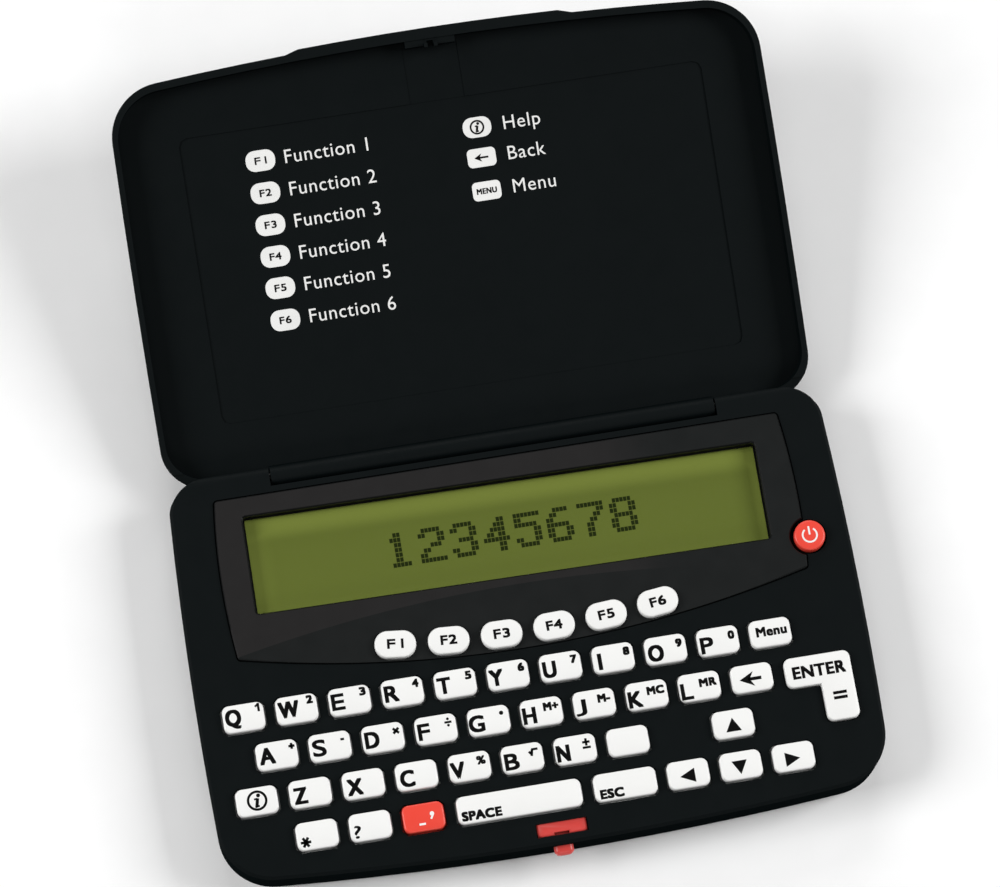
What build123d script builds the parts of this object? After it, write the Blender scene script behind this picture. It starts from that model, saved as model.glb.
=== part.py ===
from build123d import *
from math import asin, cos, degrees, radians, sin
import os

# Electronic dictionary: a clamshell handheld with a keyboard, a one-line display and a hinged lid.
# Millimetres, X to the right, Y from the keyboard to the hinge, Z up.
# The origin is the centre of the base's flat underside. The lid is stored open.

# --- Driving dimensions ---
BASE_LENGTH = 78.4          # middle of the bowed front to the rear face
BASE_HALF_FRONT = 62.8      # half width at the front corners
BASE_HALF_REAR = 62.5       # half width at the rear corners
FRONT_BOW = 2.9             # how far the middle of the front stands out from its corners
SIDE_BOW = 0.95             # the same for each side
FRONT_CORNER = 10.4         # plan radius of the front corners
REAR_CORNER = 5.2
DECK_Z = 11.0               # top of the keyboard deck
SPLIT_Z = 5.2               # parting line between the two case halves
WALL = 1.6
FLOOR = 1.5
DECK_THICK = 1.5
CASE_UNDER_BEVEL = (1.6, 2.4)   # up the wall and in along the floor
CASE_TOP_BEVEL = 0.6        # along the deck's edge

LID_HALF_FRONT = 62.3
LID_SIDE_BOW = 0.3
LID_FRONT_CORNER = 10.5
LID_REAR_CORNER = 8.2
LID_HEIGHT = 5.4
LID_FLOOR = 1.6
LID_SIDE_RIM = 1.1
LID_FRONT_RIM = 1.4
LID_REAR_RIM = 1.8
LID_EDGE_BEVEL = 1.6        # around the lid's outer face
LID_PANEL = (0.5, 1.0, 101.2, 55.0)     # shallow recess for the printed guide: centre and size
LID_PANEL_CORNER = 1.6
LID_PANEL_SINK = 0.25
LID_CHANNEL_HALF = 5.3      # channel from the catch lug to the panel
LID_CHANNEL_SINK = 0.12
LID_FRONT_OVERHANG = 0.4    # lid front beyond the base front when closed
LID_REAR_OVERHANG = 0.6
GRIP_STEP = 0.7             # how far the thumb grip stands out of the lid's front
GRIP_HALF = 25.0
GRIP_SAG = 0.48             # bow of the grip's own front edge
GRIP_RAMP = 3.0
LID_OPEN_DEG = 164.0        # angle of the stored pose, measured from closed

HINGE_RADIUS = 1.95         # lid barrel and base knuckles
HINGE_HALF = 42.7           # half length of the lid's barrel
KNUCKLE_END = 61.5          # the knuckles run out to the rear corners
KNUCKLE_REAR_Y = 40.8       # plan that trims them: its rear edge and its corners
KNUCKLE_CORNER = 8.0
HINGE_GAP = 0.3
PIN_RADIUS = 0.8
PIN_CLEARANCE = 0.05
PIN_LENGTH = 9.0

KEY_PITCH = 10.0
ROW_PITCH = 7.99
KEY_W, KEY_H, KEY_CORNER = 7.8, 5.25, 1.3
Q_X, Q_Y = -54.95, -6.2    # centre of the first key of the top letter row
KEY_TOP_Z = DECK_Z + 1.0
KEY_GAP = 0.3               # between a cap and its hole
KEY_EDGE = 0.3              # bevel around a cap's face
ENTER_LEG = 6.2
FLANGE_LIP = 0.5            # how far a key's flange reaches under the deck
FLANGE_THICK = 0.8
DOME_RADIUS = 2.2

PILL_W, PILL_H = 7.8, 5.15
PILL_TOP_Z = DECK_Z + 1.3
PILL_LOW_Y = 1.65           # centre of the lowest pill: the row is a shallow smile
PILL_FIRST_X = 30.15        # from the first letter key to the first pill
PILL_ARC_RADIUS = 230.0
POWER_X, POWER_Y, POWER_RADIUS = 55.83, 11.0, 3.05

SURROUND_TOP_X = (-54.05, 54.05)   # left and right ends of its top edge
SURROUND_SIDE_X = (-55.05, 55.1)   # where its bowed sides are widest
SURROUND_LOW_X = (-54.2, 54.4)     # left and right ends of its bottom edge
SURROUND_TOP, SURROUND_SIDE_Y = 35.75, 17.0
SURROUND_CORNER_Y = (4.95, 5.25)   # left and right bottom corners
SURROUND_LOW_Y = -1.4      # middle of the smiling bottom edge
SURROUND_RISE = 0.5         # above the deck
SURROUND_SUNK = 0.9         # below the deck
SURROUND_CORNER = 0.6       # plan radius of its corners
SURROUND_SEAM = 0.25        # groove around it
SURROUND_POWER_GAP = 0.6    # the surround stops this far from the power button
CREASE_RADIUS = 272.0       # plan radius of the crease under the display
CREASE_TOP_Y = 10.75
CREASE_FALL = 0.45          # how far the lower facet drops at its deepest

DISPLAY_W, DISPLAY_H = 98.2, 18.9
DISPLAY_X, DISPLAY_Y = -0.33, 21.83
DISPLAY_TURN = -0.7         # the glass sits slightly turned in its case
DISPLAY_BEVEL = 0.3         # width of the bevel around the well
DISPLAY_BEVEL_DROP = 0.3
WINDOW_Z = 9.6              # top of the clear window, at the bottom of the well
WINDOW_THICK = 0.8
WELL_WALL = 1.9

LATCH_X = 0.15              # middle of the latch slot
LATCH_HALF = 4.85           # half length of the latch slot
SLOT_FRONT, SLOT_REAR = -37.4, -34.85
LATCH_REAR = SLOT_REAR + 0.25   # rear face of the catch bar, under the deck's lip
LATCH_TRAVEL = 0.9
BAR_TOP_Z = DECK_Z - 0.5
BAR_LIP = 0.5               # thickness of the bar's front lip
BAR_BEVEL = 0.2
BAR_SIDE_GAP = 0.1
NUB_HALF, NUB_Z, NUB_HEIGHT = 1.85, 8.25, 1.9
NUB_REACH = 1.75            # how far the button stands out of the front wall
NUB_BEVEL = 0.5
PRONG = (0.6, 1.3)          # each catch prong of the lid, from the middle outwards
PRONG_THICK = 0.4
PRONG_BARB = 0.4
LUG_HALF = 4.8              # half width of the lid's catch lug
PART_GAP = 0.3              # general clearance between moving pieces

SPRING_SEAT_Y = -33.2       # front face of the posts that carry the leaf spring
SPRING_SEAT_X = (5.9, 7.4)
SPRING_TOP_Z = 7.8
BOARD_Z, BOARD_THICK = 5.0, 1.0
BOARD_FRONT = -32.4
CELL_RADIUS, CELL_THICK = 10.0, 3.2
BAY_X, BAY_Y, BAY_WALL = 48.2, 21.2, 1.2
BAY_MIDDLE_Y = 16.0
CELL_CENTRES = [(-12.5, BAY_MIDDLE_Y), (12.5, BAY_MIDDLE_Y)]
SCREW_PLACES = [(-55.5, -31.0), (55.5, -31.0), (-57.2, 31.0), (57.2, 31.0)]
COVER_SCREW = (0.0, 29.4)

FRONT_Y = -BASE_LENGTH / 2
REAR_Y = BASE_LENGTH / 2
AXIS_Y, AXIS_Z = REAR_Y + 0.2, DECK_Z - HINGE_RADIUS
HINGE = Axis((0, AXIS_Y, AXIS_Z), (1, 0, 0))
LID_TOP_Z = DECK_Z + LID_HEIGHT
LID_INNER_Z = LID_TOP_Z - LID_FLOOR
UNDER_DECK_Z = DECK_Z - DECK_THICK


# --- Helpers ---
def slab(face, low, high):
    """Straight wall up from a flat face, between two heights."""
    return extrude(Pos(0, 0, low) * face, amount=high - low, dir=(0, 0, 1))


def block(x0, x1, y0, y1, z0, z1):
    """Box between two corners."""
    middle = Pos((x0 + x1) / 2, (y0 + y1) / 2, (z0 + z1) / 2)
    return middle * Box(abs(x1 - x0), abs(y1 - y0), abs(z1 - z0))


def post(x, y, radius, low, high):
    """Round post or bore."""
    return Pos(x, y, (low + high) / 2) * Cylinder(radius, high - low)


def stud(x, y, radius, low, high):
    """Eight-sided post or bore, for the small hidden ones."""
    return slab(Pos(x, y) * RegularPolygon(radius, 8), low, high)


def soft_rectangle(x, y, width, height, corner, chords=2):
    """Rectangle whose corners are each turned in a few chords."""
    points = []
    for quarter, (right, up) in enumerate([(1, 1), (-1, 1), (-1, -1), (1, -1)]):
        for step in range(chords + 1):
            turn = radians(90 * (quarter + step / chords))
            across = right * (width / 2 - corner) + corner * cos(turn)
            along = up * (height / 2 - corner) + corner * sin(turn)
            points.append((x + across, y + along))
    return make_face(Polyline(*points, close=True))


def rod_along_x(y, z, radius, x0, x1):
    return Pos((x0 + x1) / 2, y, z) * Rot(0, 90, 0) * Cylinder(radius, abs(x1 - x0))


def edges_at(shape, height):
    """Edges that lie in one horizontal plane."""
    return shape.edges().filter_by_position(Axis.Z, height - 0.01, height + 0.01)


def bowed_outline(half_front, half_rear, front_y, rear_y, front_bow, side_bow, front_corner, rear_corner):
    """Plan of a case half: straight rear, slightly bowed sides, bowed front, round corners."""
    corner_y = front_y + front_bow
    half_middle = (half_front + half_rear) / 2 + side_bow
    middle_y = (corner_y + rear_y) / 2
    left, right = (-half_front, corner_y), (half_front, corner_y)
    edges = [
        ThreePointArc(left, (0, front_y), right),
        ThreePointArc(right, (half_middle, middle_y), (half_rear, rear_y)),
        Line((half_rear, rear_y), (-half_rear, rear_y)),
        ThreePointArc((-half_rear, rear_y), (-half_middle, middle_y), left),
    ]
    plan = make_face(edges)
    plan = fillet(plan.vertices().filter_by_position(Axis.Y, -100, 0), front_corner)
    return fillet(plan.vertices().group_by(Axis.Y)[-1], rear_corner)


# --- Base case ---
def base_outline():
    return bowed_outline(
        BASE_HALF_FRONT, BASE_HALF_REAR, FRONT_Y, REAR_Y, FRONT_BOW, SIDE_BOW, FRONT_CORNER, REAR_CORNER
    )


def knuckle_trim():
    """Plan that rounds the knuckles off at the rear corners."""
    halves = (BASE_HALF_FRONT, BASE_HALF_REAR)
    bows = (FRONT_BOW, SIDE_BOW)
    return bowed_outline(*halves, FRONT_Y, KNUCKLE_REAR_Y, *bows, FRONT_CORNER, KNUCKLE_CORNER)


def base_envelope(outline):
    """Outside of the closed base, both halves together, with its knuckles at the hinge."""
    body = slab(outline, 0, DECK_Z)
    floor = body.faces().sort_by(Axis.Z)[0]
    body = chamfer(floor.edges(), *CASE_UNDER_BEVEL, reference=floor)
    body = chamfer(edges_at(body, DECK_Z), CASE_TOP_BEVEL)
    trim = slab(knuckle_trim(), 0, DECK_Z)
    for side in (-1, 1):
        inner = side * (HINGE_HALF + HINGE_GAP)
        outer = side * KNUCKLE_END
        knuckle = rod_along_x(AXIS_Y, AXIS_Z, HINGE_RADIUS, inner, outer)
        knuckle += block(inner, outer, REAR_Y - 3, AXIS_Y, AXIS_Z, DECK_Z)
        body += knuckle & trim
    return body


def hinge_notch():
    """Room for the lid's barrel and the neck that joins it to the lid."""
    half = HINGE_HALF + HINGE_GAP
    clear = HINGE_RADIUS + HINGE_GAP
    return rod_along_x(AXIS_Y, AXIS_Z, clear, -half, half) + block(
        -half, half, AXIS_Y - clear, AXIS_Y + 6, AXIS_Z, DECK_Z + 2
    )


def inner_space(outline, low, high):
    """Hollow of the case between two heights, stopping short of the hinge notch."""
    space = slab(offset(outline, amount=-WALL), low, high)
    half = HINGE_HALF + PIN_LENGTH
    return space - block(-half, half, AXIS_Y - HINGE_RADIUS - 2.0, REAR_Y + 5, AXIS_Z - 4.2, DECK_Z + 1)


def cover_plan(grow=0.0):
    """Plan of the battery cover."""
    return soft_rectangle(0, 18, 52 + 2 * grow, 29 + 2 * grow, 2.0)


def bay_plan(grow=0.0):
    return Pos(0, BAY_MIDDLE_Y) * Rectangle(BAY_X + 2 * grow, BAY_Y + 2 * grow)


def make_bottom_case(outline, envelope):
    shell = envelope & slab(offset(outline, amount=6), -1, SPLIT_Z)
    shell -= inner_space(outline, FLOOR, SPLIT_Z)
    shell += slab(bay_plan(BAY_WALL), 0.3, BOARD_Z)
    shell += stud(*COVER_SCREW, 2.2, 0.3, BOARD_Z)
    for x, y in SCREW_PLACES:
        shell += stud(x, y, 2.3, 0.5, SPLIT_Z)
    for side in (-1, 1):
        near, far = side * SPRING_SEAT_X[0], side * SPRING_SEAT_X[1]
        shell += block(near, far, SPRING_SEAT_Y, SPRING_SEAT_Y + 0.6, FLOOR - 0.5, SPRING_TOP_Z)
    shell -= slab(bay_plan(), -1, BOARD_Z)
    shell -= slab(cover_plan(), -1, 1.1)
    shell -= stud(*COVER_SCREW, 0.8, 0, BOARD_Z - 0.6)
    for x, y in SCREW_PLACES:
        shell -= stud(x, y, 2.0, -1, 1.3) + stud(x, y, 1.0, 0, SPLIT_Z + 1)
    return shell - hinge_notch()


def make_top_case(outline, envelope, holes):
    shell = envelope & slab(offset(outline, amount=6), SPLIT_Z, DECK_Z + 2)
    shell -= inner_space(outline, SPLIT_Z, UNDER_DECK_Z)
    for x, y in SCREW_PLACES:
        shell += stud(x, y, 2.3, SPLIT_Z, UNDER_DECK_Z)
        shell -= stud(x, y, 0.8, SPLIT_Z - 1, UNDER_DECK_Z - 0.4)
    shell -= hinge_notch()
    pin_end = HINGE_HALF + PIN_LENGTH / 2
    shell -= rod_along_x(AXIS_Y, AXIS_Z, PIN_RADIUS, -pin_end, pin_end)
    shell -= slab(surround_plan(grow=SURROUND_SEAM), DECK_Z - SURROUND_SUNK, DECK_Z + 1)
    shell -= slab(well_plan(DISPLAY_BEVEL + WELL_WALL), UNDER_DECK_Z - 1, DECK_Z)
    for hole in holes:
        shell -= slab(hole, UNDER_DECK_Z - 0.5, DECK_Z + 1)
    slot_ends = (LATCH_X - LATCH_HALF, LATCH_X + LATCH_HALF)
    shell -= block(*slot_ends, SLOT_FRONT, SLOT_REAR, UNDER_DECK_Z - 1, DECK_Z + 1)
    return shell - bar_pocket() - nub_tunnel()


# --- Display surround, window and panel ---
def surround_plan(grow=0.0):
    """Plan of the raised surround: straight top, smiling bottom edge."""
    outward = (-grow, grow)
    tops = [(x + out, SURROUND_TOP + grow) for x, out in zip(SURROUND_TOP_X, outward)]
    sides = [(x + out, SURROUND_SIDE_Y) for x, out in zip(SURROUND_SIDE_X, outward)]
    lows = [(x + out, y - grow) for x, y, out in zip(SURROUND_LOW_X, SURROUND_CORNER_Y, outward)]
    edges = [
        Line(tops[0], tops[1]),
        ThreePointArc(tops[1], sides[1], lows[1]),
        ThreePointArc(lows[1], (0, SURROUND_LOW_Y - grow), lows[0]),
        ThreePointArc(lows[0], sides[0], tops[0]),
    ]
    plan = fillet(make_face(edges).vertices(), SURROUND_CORNER + grow)
    return plan - Pos(POWER_X, POWER_Y) * Circle(POWER_RADIUS + SURROUND_POWER_GAP - grow)


def well_plan(grow):
    """Display opening, grown outwards by a margin."""
    flat = soft_rectangle(0, 0, DISPLAY_W + 2 * grow, DISPLAY_H + 2 * grow, 0.7 + grow * 0.5)
    return Pos(DISPLAY_X, DISPLAY_Y) * Rot(0, 0, DISPLAY_TURN) * flat


def well_cut():
    """Well that drops from a bevel in the surround's face to the window."""
    top = DECK_Z + SURROUND_RISE
    low = top - DISPLAY_BEVEL_DROP
    bevel = loft([Pos(0, 0, low) * well_plan(0), Pos(0, 0, top) * well_plan(DISPLAY_BEVEL)])
    return bevel + slab(well_plan(0), WINDOW_Z, low)


def facet_cut():
    """Shallow cone that drops the lens-shaped facet below the crease."""
    centre_y = CREASE_TOP_Y - CREASE_RADIUS
    depth = SURROUND_LOW_Y - CREASE_TOP_Y
    low_radius = CREASE_RADIUS + depth
    top = DECK_Z + SURROUND_RISE
    cone = Pos(0, centre_y, top - CREASE_FALL / 2) * Cone(low_radius, CREASE_RADIUS, CREASE_FALL)
    return cone & block(-60, 60, -8, 20, top - 2, top + 1)


def make_surround(pill_holes):
    top = DECK_Z + SURROUND_RISE
    plate = slab(surround_plan(), DECK_Z - SURROUND_SUNK, top)
    plate = chamfer(edges_at(plate, top), 0.25)
    plate += slab(well_plan(DISPLAY_BEVEL + WELL_WALL - 0.3), WINDOW_Z, DECK_Z)
    plate -= facet_cut()
    plate -= well_cut()
    for hole in pill_holes:
        plate -= slab(hole, DECK_Z - 2, top + 1)
    return plate


def make_window():
    return slab(well_plan(DISPLAY_BEVEL + WELL_WALL - 0.3), WINDOW_Z - WINDOW_THICK, WINDOW_Z)


def make_lcd_panel():
    """Two glass plates, the lower one with the contact ledge along its front."""
    rear_glass = Pos(0, -0.6, 7.35) * Box(103.6, 23.8, 1.1)
    front_glass = Pos(0, 0.4, 8.35) * Box(103.6, 21.8, 0.9)
    return Pos(DISPLAY_X, DISPLAY_Y) * Rot(0, 0, DISPLAY_TURN) * (rear_glass + front_glass)


# --- Keys ---
def key_places():
    """Centre and size of each rectangular key by name."""
    rows = [
        (0, 0.0, "q w e r t y u i o p menu"),
        (1, 0.5, "a s d f g h j k l back"),
        (2, 0.0, "info z x c v b n m"),
        (3, 1.0, "star question hyphen"),
        (2, 9.0, "up"),
        (3, 8.0, "left down right"),
    ]
    places = {}
    for row, first, names in rows:
        for column, name in enumerate(names.split()):
            x = Q_X + (first + column) * KEY_PITCH
            places[name] = (x, Q_Y - row * ROW_PITCH, KEY_W)
    bottom_row = Q_Y - 3 * ROW_PITCH
    places["space"] = (Q_X + 48.05, bottom_row, 23.5)
    places["esc"] = (Q_X + 68.05, bottom_row, 11.8)
    return places


def key_plan(x, y, width):
    return soft_rectangle(x, y, width, KEY_H, KEY_CORNER)


def key_hole(x, y, width, height):
    """Hole for a cap: the gap is kept at the corners by a single cut across each."""
    return soft_rectangle(x, y, width + 2 * KEY_GAP, height + 2 * KEY_GAP, 0.7 * KEY_CORNER, chords=1)


def enter_plan(grow=0.0):
    """L-shaped key: a bar in the second row with a leg down its right side."""
    left, right = Q_X + 101.3, Q_X + 113.9
    top, low, shelf = Q_Y - 5.5, Q_Y - 18.5, Q_Y - 11.2
    corner = KEY_CORNER + grow
    bar_y, leg_y, leg_x = (top + shelf) / 2, (top + low) / 2, right - ENTER_LEG / 2
    bar = soft_rectangle((left + right) / 2, bar_y, right - left + 2 * grow, top - shelf + 2 * grow, corner)
    leg = soft_rectangle(leg_x, leg_y, ENTER_LEG + 2 * grow, top - low + 2 * grow, corner)
    return bar + leg


def pill_place(index):
    """Place of one of the six oval function keys, turned to follow their shallow arc."""
    x = Q_X + PILL_FIRST_X + index * KEY_PITCH
    turn = asin(x / PILL_ARC_RADIUS)
    return Pos(x, PILL_LOW_Y + PILL_ARC_RADIUS * (1 - cos(turn))) * Rot(0, 0, degrees(turn))


def pill_plan(index, grow=0.0):
    height = PILL_H + 2 * grow
    return pill_place(index) * soft_rectangle(0, 0, PILL_W + 2 * grow, height, 0.48 * height, chords=3)


def make_key(plan, top_z, flange):
    """A cap that stands through its hole, on a flange that stops it from leaving."""
    cap = slab(plan, UNDER_DECK_Z, top_z)
    cap = chamfer(edges_at(cap, top_z), KEY_EDGE)
    return cap + slab(flange, UNDER_DECK_Z - FLANGE_THICK, UNDER_DECK_Z)


def flange_under(x, y, width, height):
    return Pos(x, y) * Rectangle(width + 2 * FLANGE_LIP, height + 2 * FLANGE_LIP)


def make_keys():
    """Every key by node name, the deck's holes for them, and the centres of their domes."""
    keys, holes, domes = {}, [], []
    for name, (x, y, width) in key_places().items():
        keys[f"key_{name}"] = make_key(key_plan(x, y, width), KEY_TOP_Z, flange_under(x, y, width, KEY_H))
        holes.append(key_hole(x, y, width, KEY_H))
        domes.append((x, y))
    keys["key_enter"] = make_key(enter_plan(), KEY_TOP_Z, enter_plan(FLANGE_LIP))
    holes.append(enter_plan(KEY_GAP))
    domes.append((Q_X + 110.8, Q_Y - 8.4))
    for index in range(6):
        place = pill_place(index)
        flange = place * flange_under(0, 0, PILL_W, PILL_H)
        keys[f"key_function_{index + 1}"] = make_key(pill_plan(index), PILL_TOP_Z, flange)
        holes.append(place * key_hole(0, 0, PILL_W, PILL_H))
        domes.append((place.position.X, place.position.Y))
    power = Pos(POWER_X, POWER_Y)
    keys["power_button"] = make_key(
        power * Circle(POWER_RADIUS), PILL_TOP_Z, power * RegularPolygon(POWER_RADIUS + 1.0, 8)
    )
    holes.append(power * Circle(POWER_RADIUS + KEY_GAP))
    domes.append((POWER_X, POWER_Y))
    return keys, holes, domes


def make_membrane(outline, domes):
    """Rubber sheet on the board, with one dome under each key."""
    low, high = BOARD_Z + BOARD_THICK, BOARD_Z + BOARD_THICK + 0.5
    sheet = block(-60.0, 60.5, BOARD_FRONT, 8.0, low, high) + block(51.5, 60.5, 6.0, 15.0, low, high)
    sheet &= slab(offset(outline, amount=-WALL - 1.2), low, high)
    for x, y in SCREW_PLACES:
        sheet -= stud(x, y, 2.9, low - 1, high + 1)
    for x, y in domes:
        foot = Pos(x, y, high) * Rectangle(1.6 * DOME_RADIUS, 1.6 * DOME_RADIUS)
        sheet += extrude(foot, amount=UNDER_DECK_Z - FLANGE_THICK - high, taper=20)
    return sheet


# --- Latch ---
def nub_plan(grow=0.0):
    """Upright oval of the release button, seen from the front."""
    width, height = 2 * (NUB_HALF + grow), NUB_HEIGHT + 2 * grow
    return Plane.XZ * soft_rectangle(0, NUB_Z, width, height, 0.48 * height, chords=4)


def nub_tunnel():
    """Hole through the front wall for the release button."""
    return extrude(nub_plan(PART_GAP), amount=-FRONT_Y + 1, dir=(0, -1, 0)) & block(
        -4, 4, FRONT_Y - 1, FRONT_Y + 3, 0, DECK_Z
    )


def bar_pocket():
    """Room under the deck's thin lip for the catch bar to slide back into."""
    half = LATCH_HALF + BAR_SIDE_GAP
    rear = LATCH_REAR + LATCH_TRAVEL + 0.1
    return block(LATCH_X - half, LATCH_X + half, SLOT_REAR - 0.1, rear, UNDER_DECK_Z - 1, BAR_TOP_Z + 0.12)


def release_nub():
    """Button that reaches from the bar out through the front wall, bevelled at its tip."""
    tip_y = FRONT_Y - NUB_REACH
    length = LATCH_REAR - tip_y - NUB_BEVEL
    stem = extrude(Pos(0, LATCH_REAR, 0) * nub_plan(), amount=length, dir=(0, -1, 0))
    tip = loft([Pos(0, tip_y + NUB_BEVEL, 0) * nub_plan(), Pos(0, tip_y, 0) * nub_plan(-NUB_BEVEL)])
    return stem + tip


def make_latch_slider():
    """Release button with the catch bar that shows red in the deck's slot.
    The bar's front edge is a thin lip, notched for the lid's two prongs."""
    front, half = SLOT_FRONT + BAR_SIDE_GAP, LATCH_HALF - BAR_SIDE_GAP
    bar = block(LATCH_X - half, LATCH_X + half, front, LATCH_REAR, BAR_TOP_Z - BAR_LIP, BAR_TOP_Z)
    edges = edges_at(bar, BAR_TOP_Z).sort_by(Axis.Y)[:-1]
    bar = chamfer(edges, BAR_BEVEL)
    barb_rear = SLOT_FRONT + 0.1 + PRONG_THICK + PRONG_BARB
    bar += block(LATCH_X - half, LATCH_X + half, barb_rear + 0.1, LATCH_REAR, NUB_Z, BAR_TOP_Z - BAR_LIP)
    notch = PRONG[1] + 0.1
    bar -= block(-notch, notch, SLOT_FRONT - 1, SLOT_FRONT + 0.2 + PRONG_THICK, NUB_Z, DECK_Z)
    return bar + release_nub()


def make_latch_spring():
    """Bowed leaf that pushes the slider forwards."""
    thick, half = 0.25, SPRING_SEAT_X[1]
    crown, ends = LATCH_REAR, SPRING_SEAT_Y - thick
    outer = ThreePointArc((-half, ends), (0, crown), (half, ends))
    inner = ThreePointArc((half, ends + thick), (0, crown + thick), (-half, ends + thick))
    strip = make_face([outer, Line(outer @ 1, inner @ 0), inner, Line(inner @ 1, outer @ 0)])
    return slab(strip, NUB_Z - NUB_HEIGHT / 2, SPRING_TOP_Z)


# --- Hinge pins, battery cover, cells, board and screws ---
def make_hinge_pins():
    pins = []
    for side in (-1, 1):
        inner = side * HINGE_HALF - PIN_LENGTH / 2
        pins.append(rod_along_x(AXIS_Y, AXIS_Z, PIN_RADIUS, inner, inner + PIN_LENGTH))
    return Compound(children=pins)


def make_battery_cover():
    """Plate with a countersink for its screw."""
    plate = slab(cover_plan(-0.15), 0.1, 1.1)
    x, y = COVER_SCREW
    plate -= stud(x, y, 1.8, -1, 0.6) + stud(x, y, 0.95, 0, 2)
    return plate


def make_coin_cells():
    """Two lithium coin cells."""
    low = 1.25
    cells = []
    for x, y in CELL_CENTRES:
        cells.append(slab(Pos(x, y) * RegularPolygon(CELL_RADIUS, 32), low, low + CELL_THICK))
    return Compound(children=cells)


def make_circuit_board(outline):
    top = BOARD_Z + BOARD_THICK
    board = block(-60.0, 60.5, BOARD_FRONT, 34.0, BOARD_Z, top)
    board &= slab(offset(outline, amount=-WALL - 1.0), BOARD_Z, top)
    for x, y in SCREW_PLACES:
        board -= stud(x, y, 2.9, BOARD_Z - 1, BOARD_Z + 2)
    blob = extrude(Pos(-33, 26, BOARD_Z) * RegularPolygon(4.0, 8), amount=-0.9, taper=30)
    crystal = block(34, 42, 24, 27, BOARD_Z - 1.6, BOARD_Z)
    return board + blob + crystal


def make_case_screws():
    screws = []
    for x, y in SCREW_PLACES:
        head = stud(x, y, 1.7, 0.4, 1.3)
        screws.append(head + stud(x, y, 0.8, 1.3, UNDER_DECK_Z - 0.6))
    x, y = COVER_SCREW
    screws.append(stud(x, y, 1.6, 0.15, 0.6) + stud(x, y, 0.8, 0.6, BOARD_Z - 0.8))
    return Compound(children=screws)


# --- Lid, drawn closed and then turned to its stored pose ---
def lid_outline():
    return bowed_outline(
        LID_HALF_FRONT,
        BASE_HALF_REAR,
        FRONT_Y - LID_FRONT_OVERHANG,
        REAR_Y + LID_REAR_OVERHANG,
        FRONT_BOW,
        LID_SIDE_BOW,
        LID_FRONT_CORNER,
        LID_REAR_CORNER,
    )


def grip_plan():
    """Thumb grip that steps out of the lid's front with short ramps."""
    tip = FRONT_Y - LID_FRONT_OVERHANG - GRIP_STEP
    step_y = tip + GRIP_SAG
    foot_x, foot_y = GRIP_HALF + GRIP_RAMP, step_y + GRIP_STEP + 0.2
    arc = ThreePointArc((-GRIP_HALF, step_y), (0, tip), (GRIP_HALF, step_y))
    rest = [(foot_x, foot_y), (foot_x, tip + 3), (-foot_x, tip + 3), (-foot_x, foot_y)]
    return make_face([arc, Polyline(arc @ 1, *rest, arc @ 0)])


def lid_recess_plan():
    """Inside of the lid's rim: thin at the sides, thicker at the front and rear."""
    return bowed_outline(
        LID_HALF_FRONT - LID_SIDE_RIM,
        BASE_HALF_REAR - LID_SIDE_RIM,
        FRONT_Y - LID_FRONT_OVERHANG + LID_FRONT_RIM,
        REAR_Y + LID_REAR_OVERHANG - LID_REAR_RIM,
        FRONT_BOW,
        LID_SIDE_BOW,
        LID_FRONT_CORNER - LID_SIDE_RIM,
        LID_REAR_CORNER - LID_SIDE_RIM,
    )


def lid_hook():
    """Catch lug inside the front rim, split by a notch, with two barbed prongs for the deck's slot."""
    rim_inner = FRONT_Y - LID_FRONT_OVERHANG + LID_FRONT_RIM
    front = SLOT_FRONT + 0.1
    rear = front + PRONG_THICK
    foot = BAR_TOP_Z - BAR_LIP - 0.65
    hook = block(-LUG_HALF, LUG_HALF, rim_inner - 0.5, rear, DECK_Z + 0.3, LID_INNER_Z)
    hook -= block(-PRONG[0], PRONG[0], front - 0.5, rear + 1, DECK_Z, LID_INNER_Z - 1)
    for side in (-1, 1):
        x0, x1 = side * PRONG[0], side * PRONG[1]
        hook += block(x0, x1, front, rear, foot, DECK_Z + 0.3)
        hook += block(x0, x1, front, rear + PRONG_BARB, foot, foot + 0.55)
    return hook


def lid_barrel():
    """Barrel and the neck that carries it under the lid's rear wall."""
    barrel = rod_along_x(AXIS_Y, AXIS_Z, HINGE_RADIUS, -HINGE_HALF, HINGE_HALF)
    rear = REAR_Y + LID_REAR_OVERHANG
    neck = block(-HINGE_HALF, HINGE_HALF, AXIS_Y - HINGE_RADIUS, rear, AXIS_Z, DECK_Z + 0.5)
    bore = PIN_RADIUS + PIN_CLEARANCE
    end = PIN_LENGTH / 2 + 0.3
    bores = rod_along_x(AXIS_Y, AXIS_Z, bore, -HINGE_HALF - 1, -HINGE_HALF + end)
    bores += rod_along_x(AXIS_Y, AXIS_Z, bore, HINGE_HALF - end, HINGE_HALF + 1)
    return barrel + neck - bores


def make_lid_closed():
    outline = lid_outline() + grip_plan()
    shell = slab(outline, DECK_Z, LID_TOP_Z)
    shell = chamfer(edges_at(shell, LID_TOP_Z), LID_EDGE_BEVEL)
    shell -= slab(lid_recess_plan(), DECK_Z - 1, LID_INNER_Z)
    panel = soft_rectangle(*LID_PANEL, LID_PANEL_CORNER)
    shell -= slab(panel, LID_INNER_Z - 1, LID_INNER_Z + LID_PANEL_SINK)
    panel_front = LID_PANEL[1] - LID_PANEL[3] / 2
    channel = (-LID_CHANNEL_HALF, LID_CHANNEL_HALF, SLOT_FRONT, panel_front + 1)
    shell -= block(*channel, LID_INNER_Z - 1, LID_INNER_Z + LID_CHANNEL_SINK)
    shell += lid_hook()
    shell += lid_barrel()
    for side in (-1, 1):
        inner = side * (HINGE_HALF + 0.05)
        outer = side * (KNUCKLE_END + 2)
        shell -= block(inner, outer, AXIS_Y - HINGE_RADIUS - 1, REAR_Y + 2, DECK_Z - 1, DECK_Z + HINGE_GAP)
    return shell


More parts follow.
